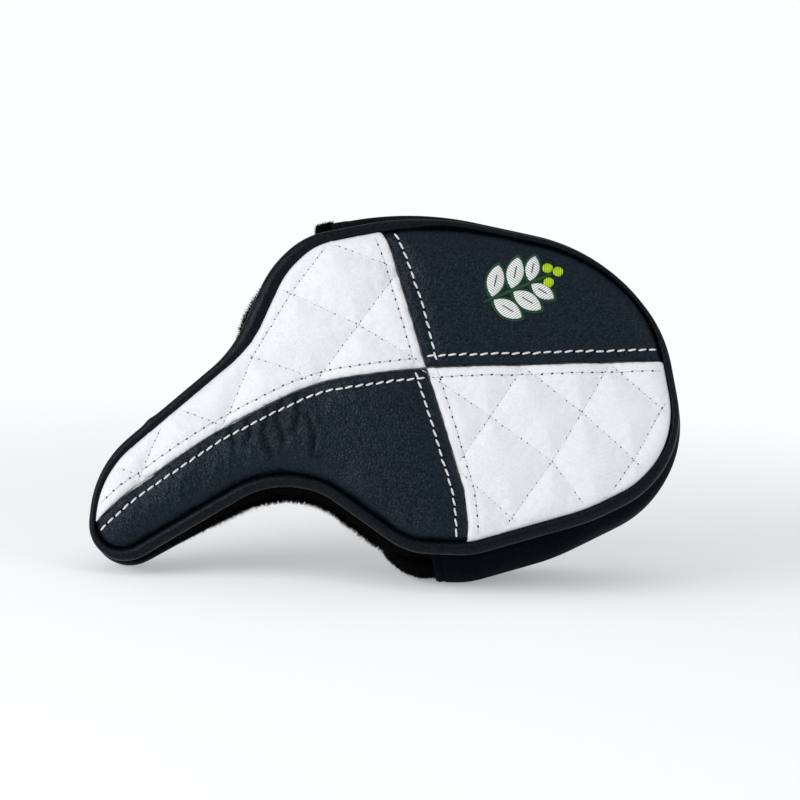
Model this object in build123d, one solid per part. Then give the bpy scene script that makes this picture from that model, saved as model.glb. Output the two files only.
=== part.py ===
# Putter head cover: a soft leather sock for the head of a heel-shafted putter.
# Two padded faces, each a patchwork of quilted and plain leather, are joined by a leather
# gusset round the toe. The heel end of each face is a free flap: the two flaps lie closed
# like a clam and spread apart to let the putter head in. The shaft leaves at the hollow
# between the flaps. Thick fleece lines everything.
#
# The cover is drawn upright, +X to the toe, +Z up, mid-plane at y = 0, and laid at the end
# on the slanting half of its gusset, the way it stands on a table, leaning back.
# Front is -Y, back is +Y.
from build123d import *
import math
import os

os.makedirs("parts", exist_ok=True)

# ---------------------------------------------------------------- driving dimensions, mm
LEAN = 18.0  # lean back when standing, degrees
HALF_WIDTH = 19.0  # mid-plane to the centre of the piping
PIPING = 4.2  # piping diameter
LEATHER = 1.2  # leather thickness
FOAM = 3.6  # wadding between leather and fleece
FLEECE = 5.0  # fleece lining, pile and backing together
DOME = 4.0  # outer leather over the centre of the piping
EDGE_ROUND = 3.4  # soft edge of the padded face
TUCK = 0.5  # how far the face runs in under the piping
BINDING = 2.2  # doubled leather at the ends of the gusset
BINDING_WIDTH = 3.0
GUSSET_SEAM = 0.8  # gusset leather over the centre of the piping, at the seam
SEAM_RUN = 4.0  # width of the narrow strip where the gusset climbs out of the seam
RIDGE = 2.0  # half width of the soft ridge along the middle of the gusset

# hinge line, about which a flap bends away from the toe part
HINGE_X = 11.2  # where it meets the floor
HINGE_TILT = 18.5  # lean of the line towards the tail, degrees
TOE_IN = 8.2  # how far each flap leans in to meet the other, degrees
HINGE_OUT = 0.2  # hinge line outside the leather
HINGE_GAP = 0.3  # clearance along the bend
GUSSET_SETBACK = 1.0  # end of the gusset from the hinge line
PRESSED = 0.1  # how much the table flattens the leather

# fleece that hangs out of the ends of the gusset
CUFF_BOTTOM = 13.0
CUFF_TOP = 4.5
CUFF_HALF_WIDTH = 10.0

# seams of the patchwork: the upright one, and the long one from the tail to the toe
SEAM_CROSSING = (7.3, 61.0)
SEAM_TILT = 18.4  # upright seam leans towards the tail, degrees
SEAM_TAIL = [(-96.0, 6.2, 0.0), (-64.0, 36.0, 60.0), (-27.0, 56.0, 50.0)]
SEAM_TOE = (96.0, 66.7)

# hidden magnets that pull the tails of the flaps together
MAGNET_D = 14.0
MAGNET_T = 2.0
MAGNETS = {"tail": (-76.0, 21.5), "waist": (-46.0, 46.0)}

# embroidered sprig: a stem with paired leaves, and berries at its end
SPRIG = (34.0, 85.5)
SPRIG_LENGTH = 24.0
SPRIG_ANGLE = 25.0
LEAF_SPREAD = 55.0
LEAVES = [(0.12, 0.45), (0.38, 0.45), (0.62, 0.37)]  # place and length, shares of the stem
LEAF_WIDTH = 0.52  # of its length
STEM_WIDTH = 0.06  # of the stem's length, as are the berries
BERRY_D = 0.135
STITCH = 0.8  # height of the raised embroidery

# how far the gusset keeps the piping off the table, and its ridge there
REST_CLEAR = 2.33
REST_BULGE = REST_CLEAR + HALF_WIDTH * math.tan(math.radians(LEAN))

# Centre line of the piping, clockwise from the tail: corner x, corner z, corner radius, and
# how far the ridge of the gusset stands out beyond the run that starts at that corner.
CORNERS = [
    (-90.9, -3.9, 9.0, 8.0),
    (-88.7, 29.0, 29.0, 8.0),
    (-49.5, 63.5, 36.0, 8.0),
    (-39.0, 88.5, 29.0, 8.0),
    (-30.0, 97.5, 21.0, 7.5),
    (5.0, 105.5, 88.0, 5.5),
    (56.8, 96.1, 50.0, 4.2),
    (75.3, 73.4, 38.0, 3.2),
    (83.4, 34.2, 28.0, 5.6),
    (56.0, 19.5, 60.0, 8.0),
    (22.0, 8.5, 24.0, REST_BULGE),
    (3.5, 8.5, 20.0, 8.4),
    (-22.0, 25.5, 22.0, 8.0),
    (-38.5, 28.5, 29.0, 8.0),
    (-67.0, 11.1, 32.0, 8.0),
]

lean = math.radians(LEAN)
tilt = math.radians(HINGE_TILT)
piping_r = PIPING / 2
hinge_y = HALF_WIDTH + DOME + HINGE_OUT
foam_inner = FOAM + LEATHER - DOME  # inner face of the wadding, in from the piping's centre
lining_inner = foam_inner + FLEECE


# ---------------------------------------------------------------- outlines
def shifted(grow):
    """The corners with every run moved outward by its own amount, and radii to match."""
    count = len(CORNERS)
    runs = []
    for i, (x, z, r, bulge) in enumerate(CORNERS):
        x2, z2 = CORNERS[(i + 1) % count][:2]
        length = math.hypot(x2 - x, z2 - z)
        ux, uz = (x2 - x) / length, (z2 - z) / length
        out = grow(bulge)
        runs.append((x - uz * out, z + ux * out, ux, uz, out))
    corners = []
    for i in range(count):
        ax, az, aux, auz, a_out = runs[i - 1]
        bx, bz, bux, buz, b_out = runs[i]
        cross = aux * buz - auz * bux
        along = ((bx - ax) * buz - (bz - az) * bux) / cross
        turn = -1 if cross > 0 else 1  # clockwise corners are the convex ones
        radius = CORNERS[i][2] + turn * (a_out + b_out) / 2
        corners.append((ax + along * aux, az + along * auz, radius))
    return corners


def path(corners, closed=True):
    """Straight runs and tangent arcs through rounded corners, as edges in the XZ plane."""
    count = len(corners)
    tangents = []
    for i, (x, z, r) in enumerate(corners):
        if not closed and i in (0, count - 1):
            tangents.append(((x, z), (x, z), None))
            continue
        ax, az = corners[i - 1][:2]
        bx, bz = corners[(i + 1) % count][:2]
        la, lb = math.hypot(ax - x, az - z), math.hypot(bx - x, bz - z)
        a = ((ax - x) / la, (az - z) / la)
        b = ((bx - x) / lb, (bz - z) / lb)
        half = math.acos(a[0] * b[0] + a[1] * b[1]) / 2
        t = r / math.tan(half)
        mid = math.hypot(a[0] + b[0], a[1] + b[1])
        reach = (r / math.sin(half) - r) / mid
        tangents.append(
            (
                (x + a[0] * t, z + a[1] * t),
                (x + b[0] * t, z + b[1] * t),
                (x + (a[0] + b[0]) * reach, z + (a[1] + b[1]) * reach),
            )
        )
    edges = []
    for i in range(count):
        start, end, middle = tangents[i]
        if middle:
            edges.append(Edge.make_three_point_arc(at(start), at(middle), at(end)))
        if closed or i < count - 1:
            nxt = tangents[(i + 1) % count][0]
            edges.append(Edge.make_line(at(end), at(nxt)))
    return edges


def at(point, y=0.0):
    return Vector(point[0], y, point[1])


def outline(grow, y=0.0):
    """Closed face at depth y, its runs moved outward by grow (a number or a rule)."""
    rule = grow if callable(grow) else lambda bulge: grow
    wire = Wire(path(shifted(rule)))
    return Face(wire).moved(Location((0, y, 0)))


def slab(face, y0, y1):
    """The face, drawn at y = 0, as a solid between two depths."""
    return extrude(face.moved(Location((0, y0, 0))), amount=y1 - y0, dir=(0, 1, 0))


def padded(grow, y_in, y_out, edge):
    """A cushion with a soft outer edge, its flat side inward."""
    solid = slab(outline(grow), y_in, y_out)
    rim = solid.faces().sort_by(Axis.Y)[0].edges()
    return fillet(rim, edge)


def gusset_rule(depth):
    """How far the gusset stands out, at some distance from the mid-plane.

    The slope is such that the half towards the back lies flat on the table.
    """
    if depth >= HALF_WIDTH:
        return lambda bulge: GUSSET_SEAM
    return lambda bulge: bulge * (1 - depth * math.tan(lean) / REST_BULGE)


def gusset_block(inset):
    """The space inside the gusset, less a skin, as flat strips from ridge to seam."""
    depths = [HALF_WIDTH, HALF_WIDTH - SEAM_RUN, RIDGE]
    wires = []
    for y in [-d for d in depths] + depths[::-1]:
        rule = gusset_rule(abs(y))
        wires.append(outline(lambda bulge, rule=rule: rule(bulge) - inset, y).outer_wire())
    return Solid.make_loft(wires, ruled=True)


# ---------------------------------------------------------------- cutters
FAR = 400.0
SPAN = FAR / 4  # reaches past the faces, up and down
hinge_dir = Vector(-math.sin(tilt), 0, math.cos(tilt))
tailward = Vector(-math.cos(tilt), 0, -math.sin(tilt))


def hinge_side(offset, toward_tail=True):
    """Half space on one side of the hinge line, starting offset mm towards the tail."""
    sign = 1 if toward_tail else -1
    start = Vector(HINGE_X, 0, 0) + tailward * offset
    plane = Plane(origin=start, x_dir=hinge_dir, z_dir=tailward * sign)
    return extrude(plane * Rectangle(FAR, FAR), amount=FAR)


def region(points_or_edges, y0=-60.0, y1=60.0):
    face = Face(Wire(points_or_edges))
    return slab(face, y0, y1)


def poly(points):
    return [
        Edge.make_line(at(points[i]), at(points[(i + 1) % len(points)]))
        for i in range(len(points))
    ]


seam = math.radians(SEAM_TILT)
cx, cz = SEAM_CROSSING
top_end = (cx - math.tan(seam) * SPAN, cz + SPAN)
low_end = (cx + math.tan(seam) * SPAN, cz - SPAN)
toe_side = region(poly([top_end, (FAR, cz + SPAN), (FAR, cz - SPAN), low_end]))
long_seam = path(SEAM_TAIL + [(cx, cz, 0.0)], closed=False)
start = SEAM_TAIL[0][:2]
above = region(
    long_seam
    + poly([(cx, cz), SEAM_TOE, (FAR, FAR), (-FAR, FAR), start])[:4]
)

# ---------------------------------------------------------------- one face, drawn as front
edge_grow = TUCK - piping_r
y_pipe = -HALF_WIDTH
bead_path = Wire(path(shifted(lambda bulge: 0.0))).moved(Location((0, y_pipe, 0)))
bead_end = Plane(origin=bead_path @ 0, z_dir=bead_path % 0) * Circle(piping_r)
bead = sweep(bead_end, path=bead_path)

y_inner = y_pipe + foam_inner
y_core = y_pipe - DOME + LEATHER
cushion = padded(edge_grow, y_inner, y_pipe - DOME, EDGE_ROUND)
core = padded(edge_grow - LEATHER, y_inner, y_core, EDGE_ROUND - LEATHER)
skin = cushion - core - bead
lining = slab(outline(-piping_r - 0.1), y_inner, y_inner + FLEECE)

magnets = {}
for place, (x, z) in MAGNETS.items():
    disc = Plane(origin=(x, y_core + (FOAM - MAGNET_T) / 2, z), z_dir=(0, 1, 0))
    magnets[place] = extrude(disc * Circle(MAGNET_D / 2), amount=MAGNET_T)
    core -= magnets[place]

heel_skin = skin - toe_side
toe_skin = skin & toe_side
face_parts = {
    "heel_quilt": heel_skin & above,
    "heel_leather": heel_skin - above,
    "toe_leather": toe_skin & above,
    "toe_quilt": toe_skin - above,
    "padding": core,
    "lining": lining,
    "piping": bead,
}

body_side = hinge_side(0.0, toward_tail=False)
flap_side = hinge_side(HINGE_GAP)
flap_raw = hinge_side(-6.0)
front_axis = Axis(origin=(HINGE_X, -hinge_y, 0), direction=hinge_dir)

front = {}
for name, shape in face_parts.items():
    if name.startswith("toe_"):
        front[name] = shape
        continue
    front[name + "_body"] = shape & body_side
    front[name + "_flap"] = (shape & flap_raw).rotate(front_axis, -TOE_IN) & flap_side
for place, shape in magnets.items():
    front["magnet_" + place] = shape.rotate(front_axis, -TOE_IN)

nodes = {}
for name, shape in front.items():
    nodes["front_" + name] = shape
    nodes["back_" + name] = mirror(shape, about=Plane.XZ)

# ---------------------------------------------------------------- gusset
beads = [bead, mirror(bead, about=Plane.XZ)]
linings = [lining, mirror(lining, about=Plane.XZ)]
block = gusset_block(0.0)
under_leather = gusset_block(LEATHER)
under_fleece = gusset_block(LEATHER + FLEECE)
gusset_end = hinge_side(-GUSSET_SETBACK, toward_tail=False)
past_binding = hinge_side(-GUSSET_SETBACK - BINDING_WIDTH, toward_tail=False)

ends = (block - gusset_block(BINDING)) & (gusset_end - past_binding)
leather_band = (block - under_leather) & past_binding
fleece_band = (under_leather - under_fleece) & gusset_end
fleece_band = fleece_band & Box(FAR, 2 * -y_inner, FAR) - ends
for solid in beads:
    ends -= solid
    leather_band -= solid
    fleece_band -= solid
for solid in linings:
    fleece_band -= solid

cuffs = (block - under_fleece) & Box(FAR, 2 * CUFF_HALF_WIDTH, FAR)
cuffs = cuffs & hinge_side(-GUSSET_SETBACK)
waist = SEAM_CROSSING[1]
lower = Pos(0, 0, waist - FAR / 2) * Box(FAR, FAR, FAR)
cuff_bottom = (cuffs & lower) - hinge_side(CUFF_BOTTOM)
cuff_top = (cuffs - lower) - hinge_side(CUFF_TOP)

nodes["gusset_leather"] = leather_band
nodes["gusset_binding_bottom"] = ends & lower
nodes["gusset_binding_top"] = ends - lower
nodes["gusset_lining"] = fleece_band + cuff_bottom + cuff_top

# ---------------------------------------------------------------- embroidered sprig
y_stitch = y_pipe - DOME


def leaf(base, angle, length, width):
    """A pointed leaf growing from its base; the angle is measured up from +X."""
    ux, uz = math.cos(math.radians(angle)), math.sin(math.radians(angle))
    x, z = base
    tip = (x + ux * length, z + uz * length)
    middle = (x + ux * length / 2, z + uz * length / 2)
    upper = (middle[0] - uz * width / 2, middle[1] + ux * width / 2)
    lower = (middle[0] + uz * width / 2, middle[1] - ux * width / 2)
    edges = [
        Edge.make_three_point_arc(at(base), at(upper), at(tip)),
        Edge.make_three_point_arc(at(tip), at(lower), at(base)),
    ]
    return slab(Face(Wire(edges)), y_stitch - STITCH, y_stitch)


def on_stem(share, aside=0.0):
    ux, uz = math.cos(math.radians(SPRIG_ANGLE)), math.sin(math.radians(SPRIG_ANGLE))
    along = (share - 0.5) * SPRIG_LENGTH
    return (SPRIG[0] + ux * along - uz * aside, SPRIG[1] + uz * along + ux * aside)


berry_r = SPRIG_LENGTH * BERRY_D / 2


def berry(share, aside):
    x, z = on_stem(share, aside)
    disc = Plane(origin=(x, y_stitch, z), z_dir=(0, -1, 0)) * Circle(berry_r)
    return extrude(disc, amount=STITCH)


sprig = leaf(on_stem(0.0), SPRIG_ANGLE, SPRIG_LENGTH, SPRIG_LENGTH * STEM_WIDTH)
for share, part in LEAVES:
    length = SPRIG_LENGTH * part
    for side in (1, -1):
        angle = SPRIG_ANGLE + side * LEAF_SPREAD
        sprig += leaf(on_stem(share), angle, length, length * LEAF_WIDTH)
sprig += berry(1.0, 0.0)
sprig += berry(0.9, berry_r * 1.3)
sprig += berry(0.84, -berry_r * 1.2)
nodes["front_sprig"] = sprig

# ---------------------------------------------------------------- lay it down and write
# The weight of the cover presses the leather it stands on flat.
# The origin is on the table, under the middle of the cover.
standing = {name: shape.rotate(Axis.X, -LEAN) for name, shape in nodes.items()}
table_z = Compound(list(standing.values())).bounding_box().min.Z + PRESSED
table = Pos(0, 0, table_z - FAR / 2) * Box(FAR, FAR, FAR)
for name in ("gusset_leather", "gusset_binding_bottom", "gusset_lining", "back_piping_body"):
    standing[name] = standing[name] - table
whole = Compound(list(standing.values())).bounding_box()
move = Location((-whole.center().X, -whole.center().Y, -whole.min.Z))
print("moved by", move.position, "overall", whole.size)
for name, shape in standing.items():
    export_step(shape.moved(move), f"parts/{name}.step")
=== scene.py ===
# %% [markdown]
# # A padded golf putter head cover
#
# The cover is sewn from flat pieces: two faces cut from white and navy leather, a navy strip
# (the gusset) round the toe, leather piping in the edges and a thick fleece lining. This
# lesson builds each piece flat, as it is cut, and then bends it into its place.
#
# First the rigid model that carries the pieces is loaded. It is the frame: its bodies are the
# toe part and the two flaps that open, and the pieces made here that lie on the toe part move with it.

# %% Load the frame
import math
import random

import bpy
import numpy as np
from mathutils import Matrix, Vector
from mathutils.bvhtree import BVHTree
from mathutils.geometry import delaunay_2d_cdt


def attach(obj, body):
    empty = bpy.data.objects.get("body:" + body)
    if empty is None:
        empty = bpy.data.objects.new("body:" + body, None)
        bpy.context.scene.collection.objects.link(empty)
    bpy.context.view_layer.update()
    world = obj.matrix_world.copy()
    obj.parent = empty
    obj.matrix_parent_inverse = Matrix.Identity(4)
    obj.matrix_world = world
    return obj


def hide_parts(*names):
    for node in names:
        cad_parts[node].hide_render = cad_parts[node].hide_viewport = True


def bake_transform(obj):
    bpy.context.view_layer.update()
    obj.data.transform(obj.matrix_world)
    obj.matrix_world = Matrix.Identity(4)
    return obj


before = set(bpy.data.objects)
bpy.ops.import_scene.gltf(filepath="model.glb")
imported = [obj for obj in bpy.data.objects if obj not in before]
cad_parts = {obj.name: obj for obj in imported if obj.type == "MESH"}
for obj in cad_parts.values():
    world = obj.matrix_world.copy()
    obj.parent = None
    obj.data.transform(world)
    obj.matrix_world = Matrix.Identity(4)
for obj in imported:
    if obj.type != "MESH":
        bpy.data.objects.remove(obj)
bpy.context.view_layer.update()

# %% [markdown]
# ## The camera
#
# The camera comes first, so every later choice can be judged through it. It stands 85 cm away
# with a long lens, a little above the cover, and is tipped sideways by two degrees.

# %% Camera
LEAN = math.radians(18.0)  # how far the cover leans back
MOVE_X, MOVE_Y, MOVE_Z = 3.679, -17.335, -0.097  # from the pattern's own origin to the frame's, in mm
CAMERA_UP, CAMERA_ROLL = math.radians(9.0), math.radians(2.09)
CAMERA_AWAY = 0.850
AIM_HEIGHT = 54.4  # mm above the table
LENS_MM = 130.4

target = Vector((MOVE_X, MOVE_Y, AIM_HEIGHT)) / 1000
camera_data = bpy.data.cameras.new("camera")
camera_data.lens, camera_data.sensor_width, camera_data.clip_start = LENS_MM, 36.0, 0.01
camera = bpy.data.objects.new("camera", camera_data)
bpy.context.collection.objects.link(camera)
camera.location = target + CAMERA_AWAY * Vector((0.0, -math.cos(CAMERA_UP), math.sin(CAMERA_UP)))
tip = Matrix.Rotation(math.radians(90) - CAMERA_UP, 3, "X")
camera.rotation_euler = (tip @ Matrix.Rotation(CAMERA_ROLL, 3, "Z")).to_euler()
bpy.context.scene.camera = camera
print("camera", round(CAMERA_AWAY * 1000), "mm from the cover, with a", LENS_MM, "mm lens")

# %% [markdown]
# ## The pattern
#
# All the flat pieces share one outline, the line along which the piping is sewn. A pattern
# maker draws it as straight runs joined by arcs, so it is written here as corners with radii,
# in millimetres. The last number says how far the middle of the gusset stands out from the
# run that starts at that corner.

# %% Outline of a face
CORNERS = [
    (-90.9, -3.9, 9.0, 8.0), (-88.7, 29.0, 29.0, 8.0), (-49.5, 63.5, 36.0, 8.0), (-39.0, 88.5, 29.0, 8.0),
    (-30.0, 97.5, 21.0, 7.5), (5.0, 105.5, 88.0, 5.5), (56.8, 96.1, 50.0, 4.2), (75.3, 73.4, 38.0, 3.2),
    (83.4, 34.2, 28.0, 5.6), (56.0, 19.5, 60.0, 8.0), (22.0, 8.5, 24.0, 8.5), (3.5, 8.5, 20.0, 8.4),
    (-22.0, 25.5, 22.0, 8.0), (-38.5, 28.5, 29.0, 8.0), (-67.0, 11.1, 32.0, 8.0),
]
HALF_WIDTH = 19.0  # from the middle of the cover to the piping
PIPING_R = 2.1
# how wide the piping shows beside each run: the padding hides half of it at the tail's end and
# over the toe, and it stands free at the waist
PIPING_SHOWS = (0.60, 0.85, 1.45, 1.30, 0.95, 0.52, 0.42, 0.66, 1.05, 1.05, 1.0, 0.95, 0.95, 1.0, 1.0)


def moved_corners(out=0.0, more=None):
    """The corners after every run has moved outward: by out, or by out(bulge), and by its own more."""
    count, runs, corners = len(CORNERS), [], []
    for i, (x, z, r, bulge) in enumerate(CORNERS):
        x2, z2 = CORNERS[(i + 1) % count][:2]
        length = math.hypot(x2 - x, z2 - z)
        ux, uz = (x2 - x) / length, (z2 - z) / length
        far = (out(bulge) if callable(out) else out) + (more[i] if more else 0.0)
        runs.append((x - uz * far, z + ux * far, ux, uz, far))
    for i in range(count):
        (ax, az, aux, auz, a_far), (bx, bz, bux, buz, b_far) = runs[i - 1], runs[i]
        cross = aux * buz - auz * bux
        along = ((bx - ax) * buz - (bz - az) * bux) / cross
        turn = -1 if cross > 0 else 1
        corners.append((ax + along * aux, az + along * auz, CORNERS[i][2] + turn * (a_far + b_far) / 2))
    return corners


def corner_arc(corners, i):
    """First and last point, centre and turn of the arc that rounds corner i."""
    (x, z), r = corners[i][:2], corners[i][2]
    here = Vector((x, z))
    a, b = (Vector(corners[j % len(corners)][:2]) - here for j in (i - 1, i + 1))
    half = a.angle(b) / 2
    a.normalize()
    b.normalize()
    centre = here + (a + b).normalized() * (r / math.sin(half))
    reach = r / math.tan(half)
    first, last = here + a * reach, here + b * reach
    return first, last, centre, (last - centre).angle_signed(first - centre)


def rounded(corners, step=1.0, closed=True, fixed=None):
    """Points along straight runs and corner arcs; fixed gives every arc a set count."""
    points = []
    for i, (x, z, r) in enumerate(corners):
        if not closed and i in (0, len(corners) - 1):
            points.append((x, z))
            continue
        first, last, centre, swing = corner_arc(corners, i)
        parts = fixed or max(2, math.ceil(abs(swing) * r / step))
        for k in range(parts + 1):
            points.append(tuple(centre + Matrix.Rotation(swing * k / parts, 2) @ (first - centre)))
    dense = []
    for p, q in zip(points, points[1:] + (points[:1] if closed else [])):
        parts = 1 if fixed else max(1, round(math.dist(p, q) / step))
        dense += [(p[0] + (q[0] - p[0]) * k / parts, p[1] + (q[1] - p[1]) * k / parts) for k in range(parts)]
    return np.array(dense if closed else dense + [points[-1]])


outline = rounded(moved_corners())
print("the piping is", round(float(np.linalg.norm(outline - np.roll(outline, 1, 0), axis=1).sum())), "mm round")

# %% [markdown]
# ## From flat to bent
#
# A face is flat over the toe and turns in by eight degrees towards the tail, so that the two
# flaps meet. `place` takes flat pattern points, with a height above the piping, and gives
# their place on the finished cover, in metres. The bend is an arc 2 cm wide, as leather bends.

# %% The bend and the lean
HINGE_X, HINGE_TILT = 11.2, math.radians(18.5)  # the bend line crosses the sole here, tilted
HINGE_Y = 23.2
TOE_IN = math.radians(8.2)
BEND_HALF = 10.0  # half the width of the bend
HALF_UP = 55.0  # about halfway up the cover
hinge_spot = np.array((HINGE_X, 0.0))
hinge_along = np.array((-math.sin(HINGE_TILT), math.cos(HINGE_TILT)))
hinge_tailward = np.array((-math.cos(HINGE_TILT), -math.sin(HINGE_TILT)))


def tailward(uv):
    """How far flat points lie past the bend line, towards the tail."""
    return (uv - hinge_spot) @ hinge_tailward


def stand(x, y, z):
    """Upright cover to the leaning one on the table, in metres."""
    c, s = math.cos(LEAN), math.sin(LEAN)
    return np.stack((x + MOVE_X, y * c + z * s + MOVE_Y, z * c - y * s + MOVE_Z), axis=1) / 1000


def place(uv, height, side):
    """Flat points at a height above the piping, onto the front (1) or back (-1) face."""
    far, along = tailward(uv), (uv - hinge_spot) @ hinge_along
    deep = HINGE_Y - HALF_WIDTH - height
    radius = 2 * BEND_HALF / TOE_IN
    turn = np.clip((far + BEND_HALF) / (2 * BEND_HALF), 0, 1) * TOE_IN
    before, after = np.minimum(far + BEND_HALF, 0), np.maximum(far - BEND_HALF, 0)
    run = -BEND_HALF + before + radius * np.sin(turn) + after * math.cos(TOE_IN)
    inward = radius * (1 - np.cos(turn)) + after * math.sin(TOE_IN)
    run, inward = run - deep * np.sin(turn), inward + deep * np.cos(turn)
    flat = run[:, None] * hinge_tailward + along[:, None] * hinge_along
    return stand(flat[:, 0] + HINGE_X, side * (inward - HINGE_Y), flat[:, 1])


def bend_with_flap(piece):
    """Bakes the piece's place into its mesh; it is tied to neither the toe part nor the flap."""
    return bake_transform(piece)


print("each face turns in by", round(math.degrees(TOE_IN), 1), "degrees over", 2 * BEND_HALF, "mm")

# %% [markdown]
# ## Small helpers
#
# One function makes a mesh object from points and faces, and one runs steps of edit mode on
# a piece. The others measure how far points lie from a line of stitching, and walk along it.

# %% Helpers for meshes
SIDES = {"front": 1, "back": -1}


def make_mesh(name, points, faces):
    mesh = bpy.data.meshes.new(name)
    mesh.from_pydata([tuple(map(float, p)) for p in points], [], [tuple(map(int, f)) for f in faces])
    mesh.update()
    piece = bpy.data.objects.new(name, mesh)
    bpy.context.collection.objects.link(piece)
    mesh.shade_smooth()
    return piece


def coordinates(piece):
    co = np.zeros(len(piece.data.vertices) * 3)
    piece.data.vertices.foreach_get("co", co)
    return co.reshape(-1, 3)


def set_coordinates(piece, points):
    piece.data.vertices.foreach_set("co", np.asarray(points, dtype=float).ravel())
    piece.data.update()


def only(*pieces):
    """Nothing stays selected but these, and the last is active."""
    if bpy.context.object and bpy.context.object.mode != "OBJECT":
        bpy.ops.object.mode_set(mode="OBJECT")
    bpy.ops.object.select_all(action="DESELECT")
    for piece in pieces:
        piece.select_set(True)
        bpy.context.view_layer.objects.active = piece


def edit(piece, *steps):
    """Runs each step, an operator with its settings, on all of the piece in edit mode."""
    only(piece)
    bpy.ops.object.mode_set(mode="EDIT")
    for operator, settings in steps:
        bpy.ops.mesh.select_all(action="SELECT")
        operator(**settings)
    bpy.ops.object.mode_set(mode="OBJECT")
    return piece


def apply_modifier(piece, kind, **settings):
    modifier = piece.modifiers.new(kind.lower(), kind)
    for key, value in settings.items():
        setattr(modifier, key, value)
    only(piece)
    bpy.ops.object.modifier_apply(modifier=modifier.name)


FACES_OUT = (bpy.ops.mesh.normals_make_consistent, {"inside": False})
print("the frame carries", len(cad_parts), "nodes")

# %% Helpers for lines
def closed_line(ring):
    return np.vstack((ring, ring[:1]))


def outward(ring):
    """The direction away from the middle at each point of a closed ring."""
    way = np.roll(ring, -1, 0) - np.roll(ring, 1, 0)
    way = np.stack((-way[:, 1], way[:, 0]), axis=1)
    return way / np.linalg.norm(way, axis=1)[:, None]


def distance(points, line):
    """Distance of each point to a line given as a row of points."""
    best = np.full(len(points), 1e9)
    for a, b in zip(line[:-1], line[1:]):
        ab = b - a
        share = np.clip(((points - a) @ ab) / max(float(ab @ ab), 1e-12), 0, 1)
        best = np.minimum(best, np.linalg.norm(points - a - share[:, None] * ab, axis=1))
    return best


def inside(points, ring):
    """Which points lie inside a closed ring, by counting how often a ray crosses it."""
    odd = np.zeros(len(points), dtype=bool)
    for a, b in zip(ring, np.roll(ring, -1, 0)):
        spans = (a[1] > points[:, 1]) != (b[1] > points[:, 1])
        rise = b[1] - a[1] if abs(b[1] - a[1]) > 1e-12 else 1e-12
        odd ^= spans & (points[:, 0] < (b[0] - a[0]) * (points[:, 1] - a[1]) / rise + a[0])
    return odd


def lengths(line):
    """The length of a line up to each of its points."""
    return np.concatenate(([0], np.cumsum(np.linalg.norm(np.diff(line, axis=0), axis=1))))


def at_lengths(line, wanted):
    total = lengths(line)
    return np.stack([np.interp(wanted, total, line[:, k]) for k in (0, 1)], axis=1)


def even(line, step=1.0):
    """The same line with points at an even spacing."""
    line = np.array(line, dtype=float)
    whole = lengths(line)[-1]
    return at_lengths(line, np.linspace(0, whole, max(2, round(whole / step) + 1)))


def walk(line, pitch):
    """Points every pitch mm along a line, with its direction there."""
    total = lengths(line)
    count = max(1, round(total[-1] / pitch))
    wanted = (np.arange(count) + 0.5) * total[-1] / count
    index = np.clip(np.searchsorted(total, wanted) - 1, 0, len(line) - 2)
    way = line[index + 1] - line[index]
    return at_lengths(line, wanted), way / np.linalg.norm(way, axis=1)[:, None]


def beside(line, offset):
    """A line moved sideways, to its left for a positive offset."""
    way = np.gradient(line, axis=0)
    way /= np.linalg.norm(way, axis=1)[:, None]
    return line + offset * np.stack((-way[:, 1], way[:, 0]), axis=1)


to_edge = distance(hinge_spot[None], closed_line(outline))[0]
print("the bend line lies", round(float(to_edge), 1), "mm from the edge")

# %% [markdown]
# ## Seams and stitching lines
#
# The patchwork has an upright seam and a long seam that swings from the tail to the toe. On
# the navy side of each seam runs a bold white topstitch, 3 mm from the seam, and on the white
# side a fine grey one. The white patches are quilted in diamonds with the same fine thread.
#
# The upright seam isn't straight: sewing pulls it, so it swings back at both its ends. It is
# written as corners too, with a place, a height and a radius for each.

# %% Lines on a face
CROSSING = np.array((7.3, 61.0))
STITCH_IN = 3.0  # a row of stitches lies this far from its seam
STRAY = 0.3  # two of the bold rows were sewn a little further in
UPRIGHT = [
    (-17.0, 121.0, 0), (-4.3, 96.0, 20), (*CROSSING, 20), (19.5, 25.2, 12), (21.0, 14.0, 12), (19.6, -6.0, 0),
]
TAIL_SEAM = [(-96.0, 6.9, 0), (-79.0, 22.9, 40), (-52.5, 41.6, 60), (-25.5, 55.6, 45), (*CROSSING, 0)]
TOE_SEAM = [CROSSING, (96.0, 66.7)]
DRIFT = (61, 79, 91, 101), (3.4, 4.2, 3.6, 2.8)  # the row over the toe wanders: height, and mm from the seam

upright = even(rounded(UPRIGHT, closed=False))
tail_seam = even(rounded(TAIL_SEAM, closed=False))
toe_seam = even(TOE_SEAM)
long_seam = np.vstack((tail_seam, toe_seam))
seams = [upright, tail_seam, toe_seam]
over, under = upright[upright[:, 1] > CROSSING[1]], upright[upright[:, 1] < CROSSING[1]]
toe_row = over + (beside(over, 1.0) - over) * np.interp(over[:, 1], *DRIFT)[:, None]
bold_rows = [
    toe_row, beside(under, -STITCH_IN - STRAY), beside(tail_seam, -STITCH_IN), beside(toe_seam, STITCH_IN + STRAY),
]
fine_rows = [
    beside(over, -STITCH_IN), beside(under, STITCH_IN), beside(tail_seam, STITCH_IN), beside(toe_seam, -STITCH_IN),
]

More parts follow.
